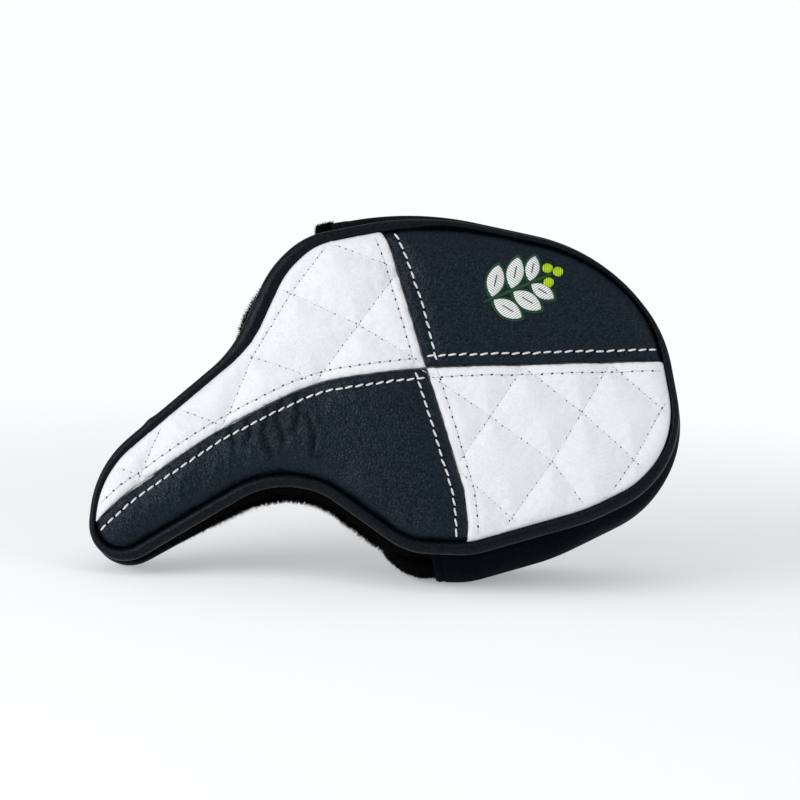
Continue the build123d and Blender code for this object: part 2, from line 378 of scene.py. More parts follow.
QUILT_ROWS = [
    [(-22.9, 97.2), (-5.9, 91.4), (4.0, 87.8)],
    [(-42.0, 85.5), (-33.6, 81.8), (-13.1, 72.9), (9.0, 60.6)],
    [(-60.0, 68.6), (-47.6, 63.8), (-30.4, 58.5), (-23.0, 52.0)],
    [(-72.0, 49.0), (-55.7, 43.6), (-48.0, 40.0)],
    [(-92.0, 32.0), (-76.3, 27.2), (-68.0, 24.0)],
    [(-20.0, 101.0), (-33.6, 81.8), (-44.2, 63.0), (-49.9, 47.8), (-55.0, 38.0)],
    [(2.0, 95.0), (-13.1, 72.9), (-26.1, 54.4), (-29.0, 49.0)],
    [(-64.0, 58.0), (-71.1, 40.6), (-77.1, 25.7), (-80.0, 19.0)],
    [(4.0, 61.8), (12.7, 56.0), (26.4, 47.1), (44.8, 34.6), (54.7, 22.0), (59.0, 14.0)],
    [(30.0, 66.0), (36.7, 61.4), (53.1, 49.3), (68.6, 36.0), (76.0, 28.0)],
    [(57.0, 67.0), (76.4, 51.3), (84.0, 44.0)],
    [(12.0, 36.0), (18.2, 30.6), (33.7, 17.5), (42.0, 10.0)],
    [(14.0, 27.0), (20.3, 37.5), (26.4, 47.1), (38.0, 66.0)],
    [(26.0, 5.0), (31.4, 14.5), (44.8, 34.6), (53.1, 49.3), (62.5, 67.0)],
    [(56.0, 13.0), (61.8, 25.5), (68.6, 36.0), (76.4, 51.3), (82.0, 60.0)],
]
print("upright seam", round(lengths(upright)[-1]), "mm, long seam", round(lengths(long_seam)[-1]), "mm")

# %% The part of each line on its own patch
EDGE_OVER = 1.62  # times its radius that the piping shows beside the leather
SEAM_CLEAR = 0.6  # mm that a row of stitches keeps from every seam
edge_out = [PIPING_R - EDGE_OVER * PIPING_R * share for share in PIPING_SHOWS]
rim = rounded(moved_corners(0.0, edge_out))
rim_line = closed_line(rim)


def toeward_of_seam(uv):
    return uv[:, 0] > np.interp(uv[:, 1], upright[::-1, 1], upright[::-1, 0])


def over_seam(uv):
    return uv[:, 1] > np.interp(uv[:, 0], long_seam[:, 0], long_seam[:, 1])


def on_white(uv):
    return toeward_of_seam(uv) != over_seam(uv)


def on_navy(uv):
    return ~on_white(uv)


def trimmed(line, keep, margin=1.0):
    """The part of a line where keep says so, margin mm inside the rim and clear of the seams."""
    line = even(line, 0.5)
    clear = np.minimum(distance(line, upright), distance(line, long_seam)) > SEAM_CLEAR
    return line[inside(line, rim) & keep(line) & (distance(line, rim_line) > margin) & clear]


bold_rows = [trimmed(row, on_navy) for row in bold_rows]
fine_rows = [trimmed(row, on_white) for row in fine_rows]
quilt_rows = [trimmed(row, on_white, 1.5) for row in QUILT_ROWS]
print(len(bold_rows), "bold rows,", len(fine_rows), "fine rows,", len(quilt_rows), "quilting rows")

# %% [markdown]
# ## A face, drawn flat
#
# The leather is one triangle mesh first, with the seams as edges, so that it can be cut into
# its four patches later. Rings of points close to the edge give the soft shoulder next to the
# piping enough room to bend. A Delaunay triangulation joins all the points.

# %% Points for a flat mesh
GRID = 1.0  # mm between points
RING_INSETS = (0.35, 0.8, 1.5, 2.5, 3.6)  # mm from the rim to the rings of points beside it
ROW_RISE = 0.866  # from one row of a triangle grid to the next, as a share of its spacing
CLOSEST, END_CLEAR = 0.55, 0.7  # shares of the spacing under which two points would make a sliver
ROW_STEP = 0.9  # mm between points along a row of stitches


def thin(points, taken, gap):
    """Drop the points that lie closer than gap to one already taken."""
    cells = {}
    for p in taken:
        cells.setdefault((int(p[0] // gap), int(p[1] // gap)), []).append(p)
    kept = []
    for p in points:
        cx, cy = int(p[0] // gap), int(p[1] // gap)
        near = [q for i in (-1, 0, 1) for j in (-1, 0, 1) for q in cells.get((cx + i, cy + j), ())]
        if all((p[0] - q[0]) ** 2 + (p[1] - q[1]) ** 2 > gap * gap for q in near):
            kept.append(p)
            cells.setdefault((cx, cy), []).append(p)
    return kept


def filled(ring, taken, grid, free=()):
    """Free points and a triangle grid, inside a ring and clear of the points taken."""
    low, high = ring.min(0), ring.max(0)
    rows, columns = np.arange(low[1], high[1], grid * ROW_RISE), np.arange(low[0], high[0], grid)
    grid_points = [(x + (k % 2) * grid / 2, z) for k, z in enumerate(rows) for x in columns]
    free = np.array(list(free) + grid_points)
    return thin([tuple(p) for p in free[inside(free, ring)]], taken, grid * CLOSEST)


def triangulated(points, edges):
    got = delaunay_2d_cdt([Vector(p) for p in points], edges, [], 1, 1e-5)
    return np.array([tuple(p) for p in got[0]]), [list(f) for f in got[2]]


print("points", GRID, "mm apart, with", len(RING_INSETS), "closer rings beside the rim")

# %% Flat mesh of a face
def face_mesh():
    points, edges = [tuple(p) for p in rim], [(i, (i + 1) % len(rim)) for i in range(len(rim))]
    middle = len(points)
    points.append(tuple(CROSSING))
    for line in (over[::-1], under, tail_seam[::-1], toe_seam):
        line = even(line, 0.25)
        line = even(line[inside(line, rim)], GRID)
        stop = int(np.argmin(np.linalg.norm(rim - line[-1], axis=1)))
        near_end = np.minimum(*(np.linalg.norm(line - p, axis=1) for p in (rim[stop], CROSSING)))
        clear = near_end > GRID * END_CLEAR
        ids = [middle] + [len(points) + k for k in range(clear.sum())] + [stop]
        points += [tuple(p) for p in line[clear]]
        edges += list(zip(ids, ids[1:]))
    free = [p for inset in RING_INSETS for p in rounded(moved_corners(-inset, edge_out))]
    free += [p for row in bold_rows + fine_rows + quilt_rows for p in even(row, ROW_STEP)]
    return triangulated(points + filled(rim, points, GRID, free), edges)


flat_points, flat_faces = face_mesh()
print("flat face:", len(flat_points), "points,", len(flat_faces), "triangles")

# %% [markdown]
# ## Height of the padded leather
#
# Before any simulation the leather gets the height its padding gives it: a shoulder that
# rises from the piping, a valley along each seam, and a shallower one along each row of
# stitches. Between the quilting rows the padding stands up in soft diamonds.
#
# The long navy patch has creases as well, where the flap bends in the hand. A crease is a
# narrow valley with the hide raised a little on both its sides.

# %% Height of a face
SHOULDER, SHOULDER_POWER = 10.0, 2.2  # mm over which the leather rises from the piping, and how round
EDGE_HEIGHT, TOP_HEIGHT = 1.0, 4.3
WHITE_PUFF, NAVY_PUFF = 0.5, 0.1  # more padding under the quilted hide
SETTLE = 6.0  # mm from the edge over which the valleys reach their depth
NAVY_CREASE, NAVY_CREASE_WIDE = 1.4, 1.2  # how far the navy leather dives beside the piping
# depth and half width of the valleys, in mm: a sharp one, and a wide one where the padding sinks
SEAM_VALLEYS = [(0.8, 0.9), (0.3, 3.4)]
ROW_VALLEY = (0.3, 1.2)
QUILT_VALLEYS = [(0.45, 1.0), (1.3, 4.6)]
CREASE_VALLEYS = [(0.65, 1.1), (-0.4, 2.6)]
CREASES = [
    [(-40.5, 52.5), (-39.0, 46.0), (-40.0, 40.0), (-37.5, 33.5)],
    [(-35.0, 50.0), (-36.0, 44.5), (-33.5, 38.0)],
    [(-45.5, 47.0), (-44.0, 41.0), (-45.0, 37.0)],
    [(-30.5, 52.0), (-29.5, 46.0), (-30.5, 41.0)],
    [(-49.0, 45.0), (-50.0, 40.5), (-48.5, 37.0)],
    [(-27.0, 46.0), (-24.5, 40.0), (-25.0, 34.0)],
]
creases = [even(line, 0.8) for line in CREASES]


def dip(points, rows, *valleys):
    """How far the leather dips near rows of points, for valleys of a depth and a half width."""
    near = np.min([distance(points, row) for row in rows], axis=0)
    return sum(depth * np.exp(-((near / width) ** 2)) for depth, width in valleys)


print(len(creases), "creases in the long navy patch")

# %% Folds beside the stitches
PUCKER_PITCHES, PUCKER_HIGH = (3.1, 4.3, 6.7), 0.06
PUCKER_FROM, PUCKER_WIDE = 1.6, 1.5  # mm from the row to the middle of a fold, and its half width


def puckers(uv):
    """Small folds that run out from the stitches, across their rows."""
    total, rng = np.zeros(len(uv)), random.Random(5)
    for row in quilt_rows + fine_rows + bold_rows:
        if len(row) < 6:  # too short to fold
            continue
        way = (row[-1] - row[0]) / np.linalg.norm(row[-1] - row[0])
        along = (uv - row[0]) @ way
        wave = sum(np.sin(2 * math.pi * along / pitch + rng.uniform(0, 6)) for pitch in PUCKER_PITCHES)
        across = np.exp(-(((distance(uv, row) - PUCKER_FROM) / PUCKER_WIDE) ** 2))
        total += PUCKER_HIGH * math.sqrt(0.5) * wave * across
    return total


def face_height(uv):
    near, navy = distance(uv, rim_line), on_navy(uv)
    share = np.clip(near / SHOULDER, 0, 1)
    height = EDGE_HEIGHT + (TOP_HEIGHT - EDGE_HEIGHT) * np.sqrt(1 - (1 - share) ** SHOULDER_POWER)
    height -= navy * NAVY_CREASE * np.exp(-((near / NAVY_CREASE_WIDE) ** 2))
    relief = np.where(navy, NAVY_PUFF, WHITE_PUFF) + puckers(uv)
    relief -= dip(uv, seams, *SEAM_VALLEYS) + dip(uv, quilt_rows, *QUILT_VALLEYS)
    relief -= dip(uv, bold_rows, ROW_VALLEY) + dip(uv, fine_rows, ROW_VALLEY)
    relief -= dip(uv, creases, *CREASE_VALLEYS) * navy
    return height + relief * np.clip(near / SETTLE, 0.15, 1)


heights = face_height(flat_points)
print("height from", round(float(heights.min()), 2), "to", round(float(heights.max()), 2), "mm")

# %% [markdown]
# ## Let the padding push
#
# Real leather wrinkles a little round each stitch, because it is pulled down there and pushed
# up between. Cloth simulation gives that: the seams and stitches are pinned, a small pressure
# pushes from below, and the leather may stretch by a percent or two. The face is simulated ten
# times its size, because cloth in Blender is tuned for cloth as large as a cushion.
#
# What the simulation may move is capped. The plain navy leather is stiffer than the quilted
# hide, so it moves less, except where the flap is bent by hand.

# %% Cloth simulation
SIM_SCALE = 0.01  # a millimetre becomes a centimetre
FRAMES = 16
CAP, STIFF_CAP = 0.9, 0.35  # mm that it may move a point, and the share of that on stiff leather
BENT_X, BENT_WIDE = -35.0, 16.0
PIN_ROWS, PIN_RIM = 0.45, 0.6  # mm from a row or the rim within which the leather is held
CLOTH = dict(
    quality=6, mass=0.25, tension_stiffness=12, compression_stiffness=12, shear_stiffness=4,
    bending_stiffness=2.5, shrink_min=-0.006, use_pressure=True, uniform_pressure_force=1.3,
    vertex_group_mass="held",
)


def simulate(start, faces):
    pad = make_mesh("leather_sim", start * SIM_SCALE, faces)
    tight = np.min([distance(start[:, :2], row) for row in seams + bold_rows + fine_rows + quilt_rows], axis=0)
    fixed = (tight < PIN_ROWS) | (distance(start[:, :2], rim_line) < PIN_RIM)
    pad.vertex_groups.new(name="held").add([int(i) for i in np.nonzero(fixed)[0]], 1.0, "REPLACE")
    cloth = pad.modifiers.new("cloth", "CLOTH")
    for key, value in CLOTH.items():
        setattr(cloth.settings, key, value)
    cloth.settings.effector_weights.gravity = 0
    cloth.collision_settings.use_collision = False
    cloth.point_cache.frame_start, cloth.point_cache.frame_end = 1, FRAMES
    for frame_number in range(1, FRAMES + 1):
        bpy.context.scene.frame_set(frame_number)
    only(pad)
    bpy.ops.object.modifier_apply(modifier="cloth")
    moved = coordinates(pad) / SIM_SCALE
    bpy.context.scene.frame_set(1)
    bpy.data.objects.remove(pad)
    return moved


soft_points = np.column_stack((flat_points, heights))
shift = simulate(soft_points, flat_faces) - soft_points
size = np.linalg.norm(shift, axis=1)
print("cloth moved points by", np.percentile(size, [50, 90, 100]).round(2), "mm")
by_hand = np.exp(-(((flat_points[:, 0] - BENT_X) / BENT_WIDE) ** 2))
cap = CAP * np.where(on_white(flat_points), 1.0, STIFF_CAP + (1 - STIFF_CAP) * by_hand)
soft_points += shift * np.minimum(1, cap / np.maximum(size, 1e-9))[:, None]

# %% [markdown]
# ## Four patches of leather on each face
#
# The flat mesh is cut along the seams into its four patches. Each patch is bent into place,
# given the thickness of the leather inwards, and subdivided once, which rounds its edges into
# the turned edges of a real seam. The back face is the mirror image of the front one.
#
# Navy leather is nearly black down in a fold and against the piping, where no light reaches,
# so that shade is painted into its colour; how much painted shade each point gets is kept in an
# attribute of the mesh, which its material reads.

# %% Patches
LEATHER = 1.2  # mm
# painted shade beside the piping and in the folds: how dark it is, and its half width in mm
EDGE_SHADE, EDGE_SHADE_WIDE = 0.9, 1.3
FOLD_SHADE, FOLD_SHADE_WIDE = 0.6, 0.8

centres = soft_points[np.array(flat_faces)].mean(axis=1)[:, :2]
above, toeward = over_seam(centres), toeward_of_seam(centres)
PATCHES = {
    "heel_quilt": (above & ~toeward, ("_heel_quilt_body", "_heel_quilt_flap"), "white_leather"),
    "heel_leather": (~above & ~toeward, ("_heel_leather_body", "_heel_leather_flap"), "navy_leather"),
    "toe_leather": (above & toeward, ("_toe_leather",), "navy_leather"),
    "toe_quilt": (~above & toeward, ("_toe_quilt",), "white_leather"),
}
made = {}  # the pieces of each finish


def patch(name, side, chosen):
    used, faces = np.unique(np.array(flat_faces)[chosen], return_inverse=True)
    faces, points = faces.reshape(-1, 3), soft_points[used]
    uv = points[:, :2]
    piece = make_mesh(name, place(uv, points[:, 2], side), faces if side > 0 else faces[:, ::-1])
    # painted shade on the navy leather, darkest at the rim by the piping and along the folds
    depth = dip(uv, [rim_line], (EDGE_SHADE, EDGE_SHADE_WIDE)) + dip(uv, creases, (FOLD_SHADE, FOLD_SHADE_WIDE))
    shade = piece.data.attributes.new("crease_shade", "FLOAT", "POINT")
    shade.data.foreach_set("value", np.clip(depth, 0, 1) * on_navy(uv))
    apply_modifier(piece, "SOLIDIFY", thickness=LEATHER / 1000, offset=-1.0)
    apply_modifier(piece, "SUBSURF", levels=1, render_levels=1)
    return piece


for where, side in SIDES.items():
    for name, (chosen, nodes, finish) in PATCHES.items():
        piece = patch(f"{where}_{name}_patch", side, chosen)
        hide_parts(*(where + node for node in nodes))
        if len(nodes) == 2:
            bend_with_flap(piece)
        else:
            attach(piece, "body")
        made.setdefault(finish, []).append(piece)
        print(piece.name, len(piece.data.polygons), "faces")

# %% [markdown]
# ## Stitches
#
# A stitch is a short piece of thread that comes up through one hole and goes down through the
# next, so it is a small bow that is fat in the middle. One stitch is modelled from a cylinder
# and copied along each row, turned along the row and set on the leather under it.

# %% One stitch
STITCH_EDGE, STITCH_TAPER, STITCH_BOW, STITCH_SUNK = 0.3, 0.4, 0.6, 0.35  # shares of its thickness


def taken_apart(piece):
    """The points and faces of a small model, which is then thrown away."""
    points, faces = coordinates(piece), [tuple(p.vertices) for p in piece.data.polygons]
    bpy.data.objects.remove(piece)
    return points, faces


def stitch_shape(length, thick):
    """Points and faces of one stitch, lying along x, in mm."""
    only()
    bpy.ops.mesh.primitive_cylinder_add(vertices=7, radius=thick / 2, depth=length, end_fill_type="NGON")
    thread = bpy.context.object
    thread.rotation_euler = (0, math.radians(90), 0)
    bpy.ops.object.transform_apply(rotation=True)
    apply_modifier(thread, "BEVEL", width=thick * STITCH_EDGE, segments=1)
    cuts = [{"plane_co": (share * length, 0, 0), "plane_no": (1, 0, 0)} for share in (-0.25, 0.0, 0.25)]
    edit(thread, *((bpy.ops.mesh.bisect, cut) for cut in cuts))
    points, faces = taken_apart(thread)
    bow = 1 - (2 * points[:, 0] / length) ** 2
    points[:, 1:] *= (1 - STITCH_TAPER + STITCH_TAPER * bow)[:, None]
    points[:, 2] += thick * (STITCH_BOW * bow - STITCH_SUNK)
    return points, faces


bold_stitch, fine_stitch, quilt_stitch = stitch_shape(2.7, 0.68), stitch_shape(2.4, 0.36), stitch_shape(1.8, 0.26)
print("one stitch has", len(bold_stitch[1]), "faces")

# %% [markdown]
# Where a needle went through the hide, a small dark hole stays at the end of each stitch, and
# from a little way off the fine rows look like rows of dots. A hole is a tiny eight-sided
# button, sunk between each stitch and the next, and its dark colour is painted shade. Along the
# bold rows it is black.

# %% A needle hole
HOLE_DEEP, HOLE_EDGE, HOLE_SUNK = 0.3, 0.08, 0.07  # mm


def hole_shape(long, wide):
    only()
    bpy.ops.mesh.primitive_cylinder_add(vertices=8, radius=0.5, depth=HOLE_DEEP, end_fill_type="NGON")
    hole = bpy.context.object
    apply_modifier(hole, "BEVEL", width=HOLE_EDGE, segments=1)
    points, faces = taken_apart(hole)
    return points * (long, wide, 1.0) - (0, 0, HOLE_SUNK), faces


def shifted_rows(rows, pitch):
    """The same rows, half a stitch further on, so that holes fall between stitches."""
    moved_rows = []
    for row in rows:
        length = lengths(row)[-1]
        if length > 3 * pitch:
            skip = max(1, int(round(len(row) * pitch / 2 / length)))
            moved_rows.append(row[skip:-skip])
    return moved_rows


bold_hole, fine_hole, quilt_hole = hole_shape(0.95, 0.8), hole_shape(0.95, 0.6), hole_shape(0.68, 0.5)
print("one needle hole has", len(bold_hole[1]), "faces")

# %% [markdown]
# To know how high the leather is under each stitch, a search tree of the flat face is asked
# where a ray from above meets it.

# %% Leather under a stitch
UNEVEN = 0.05  # mm that a stitch strays from its row
leather_tree = BVHTree.FromPolygons([tuple(p) for p in soft_points], flat_faces)


def leather_height(uv):
    hits = [leather_tree.ray_cast(Vector((u, v, 20.0)), Vector((0, 0, -1)))[0] for u, v in uv]
    return np.array([hit.z if hit else 0.0 for hit in hits])


def row_of_stitches(rows, pitch, shape, wobble, slant):
    """Flat points and heights, and faces, of all the stitches of these rows."""
    rng, (shape_points, shape_faces) = random.Random(7), shape
    reach = shape_points[:, 0].max()
    uv, up, faces = [], [], []
    for row in rows:
        if len(row) < 4:  # too short for a stitch
            continue
        for spot, way in zip(*walk(row, pitch)):
            angle = math.atan2(way[1], way[0]) + slant + rng.gauss(0, wobble)
            c, s = math.cos(angle), math.sin(angle)
            spot = spot + np.array((rng.gauss(0, UNEVEN), rng.gauss(0, UNEVEN)))
            under = leather_height(spot + np.array(((-c, -s), (0, 0), (c, s))) * reach)
            faces += [tuple(v + len(uv) * len(shape_points) for v in f) for f in shape_faces]
            uv.append(spot + shape_points[:, :2] @ np.array(((c, s), (-s, c))))
            up.append(np.interp(shape_points[:, 0] / reach, (-1, 0, 1), under) + shape_points[:, 2])
    return np.vstack(uv), np.concatenate(up), faces


print("the leather is", leather_height([CROSSING])[0].round(2), "mm high where the seams cross")

# %% Rows of stitches on both faces
BOLD_PITCH, FINE_PITCH, QUILT_PITCH = 3.05, 2.95, 2.25  # mm from one stitch to the next
BOLD_SLANT, FINE_SLANT = 0.13, 0.1  # radians

bold_gaps, fine_gaps = shifted_rows(bold_rows, BOLD_PITCH), shifted_rows(fine_rows, FINE_PITCH)
quilt_gaps = shifted_rows(quilt_rows, QUILT_PITCH)

# name: rows, pitch, shape, wobble, slant, finish
THREADS = {
    "topstitching": (bold_rows, BOLD_PITCH, bold_stitch, 0.05, BOLD_SLANT, "thread"),
    "seam_stitching": (fine_rows, FINE_PITCH, fine_stitch, 0.05, FINE_SLANT, "fine_thread"),
    "quilting_stitches": (quilt_rows, QUILT_PITCH, quilt_stitch, 0.08, FINE_SLANT, "quilt_thread"),
    "topstitch_needle_holes": (bold_gaps, BOLD_PITCH, bold_hole, 0.05, BOLD_SLANT, "black_hole"),
    "seam_needle_holes": (fine_gaps, FINE_PITCH, fine_hole, 0.2, FINE_SLANT, "dark_hole"),
    "quilting_needle_holes": (quilt_gaps, QUILT_PITCH, quilt_hole, 0.3, FINE_SLANT, "grey_hole"),
}

sewn = {name: row_of_stitches(*settings) for name, (*settings, finish) in THREADS.items()}
for where, side in SIDES.items():
    for name, (uv, up, faces) in sewn.items():
        piece = make_mesh(f"{where}_{name}", place(uv, up, side), [f[::side] for f in faces])
        bend_with_flap(piece)
        made.setdefault(THREADS[name][-1], []).append(piece)
        print(piece.name, len(faces) // len(THREADS[name][2][1]), "copies")

# %% [markdown]
# ## Piping
#
# Piping is a cord wrapped in a strip of leather and sewn into the edge. Its section is a
# circle, so one circle is extruded along each straight run of the edge and spun round each
# corner, flat on the table, and then bent into place with the face.

# %% Piping drawn flat
CORD_SIDES, CORD_RUN, CORD_ARC = 14, 1.6, 1.4  # sides of its section, and mm along it from ring to ring


def flat_piping():
    corners = moved_corners()
    arcs = [corner_arc(corners, i) for i in range(len(corners))]
    spot = arcs[-1][1]
    way = arcs[0][0] - spot
    only()
    bpy.ops.mesh.primitive_circle_add(
        vertices=CORD_SIDES, radius=PIPING_R, location=(*spot, 0),
        rotation=(math.radians(90), 0, math.atan2(way.y, way.x) + math.radians(90)),
    )
    bead = bpy.context.object
    bpy.ops.object.transform_apply(location=True, rotation=True)
    bpy.ops.object.mode_set(mode="EDIT")
    bpy.ops.mesh.select_all(action="SELECT")
    for (first, last, centre, swing), (_, _, r) in zip(arcs, corners):
        run = first - spot
        parts = max(1, round(run.length / CORD_RUN))
        for _ in range(parts):
            bpy.ops.mesh.extrude_region_move(TRANSFORM_OT_translate={"value": (*run / parts, 0)})
        steps = max(3, round(abs(swing) * r / CORD_ARC))
        bpy.ops.mesh.spin(steps=steps, angle=-swing, center=(*centre, 0), axis=(0, 0, 1), dupli=False)
        spot = last
    edit(bead, (bpy.ops.mesh.remove_doubles, {"threshold": 0.05}), FACES_OUT)
    return taken_apart(bead)


bead_points, bead_faces = flat_piping()
print("piping:", len(bead_faces), "faces,", np.ptp(bead_points[:, 0]).round(1), "mm long")

# %% [markdown]
# The two ends of each piece of piping are joined low on the tail, where a small lump shows.
# The finished bead is squeezed to the width at which it shows, and put in place on both faces.

# %% Piping on both faces
JOIN = np.array((-73.5, 42.4))  # where the ends of the piping overlap
LUMP, LUMP_LONG = 0.26, 1.6
RUN_PULL, BLEND_POINTS = 1.5, 19  # how softly the width of one run passes into the next

runs = [np.array((a[:2], b[:2])) for a, b in zip(CORNERS, CORNERS[1:] + CORNERS[:1])]
pull = np.exp(-np.stack([distance(outline, run) for run in runs]) / RUN_PULL)
shows = (pull * np.array(PIPING_SHOWS)[:, None]).sum(axis=0) / pull.sum(axis=0)


def smoothed(values, count):
    """A moving average round a closed ring of values."""
    kernel = np.hanning(count) / np.hanning(count).sum()
    return np.convolve(np.pad(values, count // 2, mode="wrap"), kernel, mode="valid")


nearest = np.argmin(np.linalg.norm(bead_points[:, None, :2] - outline[None], axis=2), axis=1)
centre_line, share = outline[nearest], smoothed(shows, BLEND_POINTS)[nearest]
lump = share + LUMP * np.exp(-((np.linalg.norm(centre_line - JOIN, axis=1) / LUMP_LONG) ** 2))
uv = centre_line + (bead_points[:, :2] - centre_line) * lump[:, None]
uv += outward(outline)[nearest] * (PIPING_R * (1 - share))[:, None]
up = bead_points[:, 2] * np.sqrt(lump)

for where, side in SIDES.items():
    piece = make_mesh(f"{where}_piping", place(uv, up, side), [f[::side] for f in bead_faces])
    apply_modifier(piece, "SUBSURF", levels=1, render_levels=1)
    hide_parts(f"{where}_piping_body", f"{where}_piping_flap")
    bend_with_flap(piece)
    made["navy_leather"].append(piece)
    print(piece.name, len(piece.data.polygons), "faces")

# %% [markdown]
# ## Wadding and fleece
#
# Between the leather and the fleece lies a sheet of wadding, and the fleece itself is 5 mm
# thick with a pile that sticks out at the edges. Both are closed pads: two flat triangle
# sheets joined round the edge by rows of faces that bulge outward.

# %% Pads
PAD_RINGS, EDGE_ROUND = 5, 0.6  # rows of points round its edge, and 1 would make that edge a half circle
WADDING_GRID, FLEECE_GRID = 2.6, 2.2  # mm between points


def pad(name, grow, grid, top, bottom, bulge, side):
    """A closed pad inside the outline moved by grow, between two height rules."""
    ring = rounded(moved_corners(grow), step=grid)
    taken, count = [tuple(p) for p in ring], len(ring)
    after = [(i + 1) % count for i in range(count)]
    uv, sheet = triangulated(taken + filled(ring, taken, grid), list(enumerate(after)))
    ups, downs, size = top(uv), bottom(uv), len(uv)
    all_uv, all_up = [uv, uv], [ups, downs]
    faces = sheet + [[i + size for i in f[::-1]] for f in sheet]
    edge_rows = [list(range(count))]
    for k in range(1, PAD_RINGS + 1):
        turn = math.pi * k / (PAD_RINGS + 1)
        all_uv.append(ring + outward(ring) * (bulge(ring) * math.sin(turn) ** EDGE_ROUND)[:, None])
        all_up.append(ups[:count] + (downs[:count] - ups[:count]) * (1 - math.cos(turn)) / 2)
        edge_rows.append([2 * size + (k - 1) * count + i for i in range(count)])
    edge_rows.append([size + i for i in range(count)])
    for a, b in zip(edge_rows, edge_rows[1:]):
        faces += [(a[i], a[after[i]], b[after[i]], b[i]) for i in range(count)]
    placed = place(np.vstack(all_uv), np.concatenate(all_up), side)
    placed[:, 2] = np.maximum(placed[:, 2], 0.0)  # nothing sinks into the table
    return edit(make_mesh(name, placed, faces), FACES_OUT), 2 * len(sheet)


def level(height):
    """A height rule that gives the same height, or bulge, everywhere."""
    return lambda uv: np.full(len(uv), height)


print("the edge of a pad has", PAD_RINGS, "rows of points between its two sheets")

# %% Wadding
WADDING_BACK, WADDING_IN = -0.8, -3.4  # height of its flat back, and how far it stops inside the piping
THINNEST, UNDER_LEATHER = 0.4, 0.25  # mm, and the gap that it leaves under the leather
WADDING_BULGE = 0.3  # mm that its edge bulges
SEAM_PINCH = (2.5, 1.5)  # the seams press it down: depth and half width in mm


def under_leather(uv):
    room = leather_height(uv) - LEATHER - UNDER_LEATHER - dip(uv, seams, SEAM_PINCH)
    return np.maximum(room, WADDING_BACK + THINNEST)


for where, side in SIDES.items():
    back, bulge = level(WADDING_BACK), level(WADDING_BULGE)
    piece, _ = pad(f"{where}_wadding", WADDING_IN, WADDING_GRID, under_leather, back, bulge, side)
    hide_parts(f"{where}_padding_body", f"{where}_padding_flap")
    bend_with_flap(piece)
    made.setdefault("foam", []).append(piece)
    print(piece.name, len(piece.data.polygons), "faces")

# %% [markdown]
# The pile is made of short tapering fibres. A fibre has three sides, a bend in its middle and
# a point, so thousands of them stay light. They are placed with a fixed random seed.

# %% Fibres
FIBRE_THICK, FIBRES_A_MM2, TANGLE, CURL = 0.2, 9.0, 0.5, 0.45
FIBRE_FACES = [(0, 1, 4, 3), (1, 2, 5, 4), (2, 0, 3, 5), (3, 4, 6), (4, 5, 6), (5, 3, 6)]


def unit(ways):
    return ways / np.linalg.norm(ways, axis=1)[:, None]


def fibres(roots, ways, length, rng):
    """Points and faces of bent, pointed fibres that stand on the roots, in metres."""
    count, thick = len(roots), FIBRE_THICK / 2000
    ways = unit(ways + rng.normal(0, TANGLE, ways.shape))
    aside = unit(np.cross(ways, rng.normal(0, 1, ways.shape)))
    other = np.cross(ways, aside)
    long = length / 1000 * rng.uniform(0.55, 1.15, (count, 1))
    bend = (rng.normal(0, CURL, (count, 1)) * aside + rng.normal(0, CURL, (count, 1)) * other) * long
    points = np.zeros((count, 7, 3))
    for k in range(3):
        angle = 2 * math.pi * k / 3
        spoke = (aside * math.cos(angle) + other * math.sin(angle)) * thick
        points[:, k] = roots + spoke - ways * long * 0.15
        points[:, 3 + k] = roots + ways * long * 0.5 + spoke * 0.7 + bend * 0.25
    points[:, 6] = roots + ways * long + bend
    faces = [tuple(i * 7 + v for v in f) for i in range(count) for f in FIBRE_FACES]
    return points.reshape(-1, 3), faces


def add_pile(piece, keep, length, seed):
    """Fibres on the faces of a piece that keep chooses, joined into the piece."""
    piece.data.calc_loop_triangles()
    tris = np.array([t.vertices[:] for t in piece.data.loop_triangles])
    owner = np.array([t.polygon_index for t in piece.data.loop_triangles])
    a, b, c = (coordinates(piece)[tris[:, k]] for k in range(3))
    normal = np.cross(b - a, c - a)
    area = np.linalg.norm(normal, axis=1)
    normal /= np.maximum(area, 1e-15)[:, None]
    chosen = np.nonzero(keep((a + b + c) / 3, owner))[0]
    rng = np.random.default_rng(seed)
    count = int(area[chosen].sum() / 2 * 1e6 * FIBRES_A_MM2)
    pick = chosen[rng.choice(len(chosen), count, p=area[chosen] / area[chosen].sum())]
    r, t = np.sqrt(rng.random((count, 1))), rng.random((count, 1))
    roots = a[pick] * (1 - r) + b[pick] * r * (1 - t) + c[pick] * r * t
    points, faces = fibres(roots, normal[pick], length, rng)
    points[:, 2] = np.maximum(points[:, 2], 0.0)  # the table presses them flat
    only(make_mesh(piece.name + "_pile", points, faces), piece)
    bpy.ops.object.join()
    print(piece.name, count, "fibres")


print("one fibre has", len(FIBRE_FACES), "faces")

# %% [markdown]
# The fleece of a face is cut larger than its leather where the cover is open. It hardly shows
# over the toe, stands out most at the waist and in the arch of the sole, and is trimmed close
# under the tail.

# %% Fleece lining
FLEECE_TOP, FLEECE_BACK, FLEECE_IN = -0.9, -5.8, -2.4
WAIST, WAIST_LONG = np.array((-44.5, 75.0)), 11.0
TAIL_X, ARCH_X = -84.0, -42.0  # along the sole the fleece comes out further between these
OUT_TOE, OUT_OPEN, OUT_SOLE, OUT_WAIST = 0.5, 2.2, 2.7, 3.0  # mm that it stands out, added up
OPEN_FROM, OPEN_OVER = -4.0, 3.0  # the open part begins here, in mm past the bend line
PILE_FROM, RIM_PILE = -6.0, 1.5  # where the pile begins, and how long it is

ends_u, ends_v = np.array((hinge_spot, hinge_spot + hinge_tailward)).T
bend_spot, tail_spot = stand(ends_u, np.zeros(2), ends_v)


def past_bend(points):
    """How many mm finished points lie past the bend line, towards the tail."""
    return (points - bend_spot) @ (tail_spot - bend_spot) * 1e6


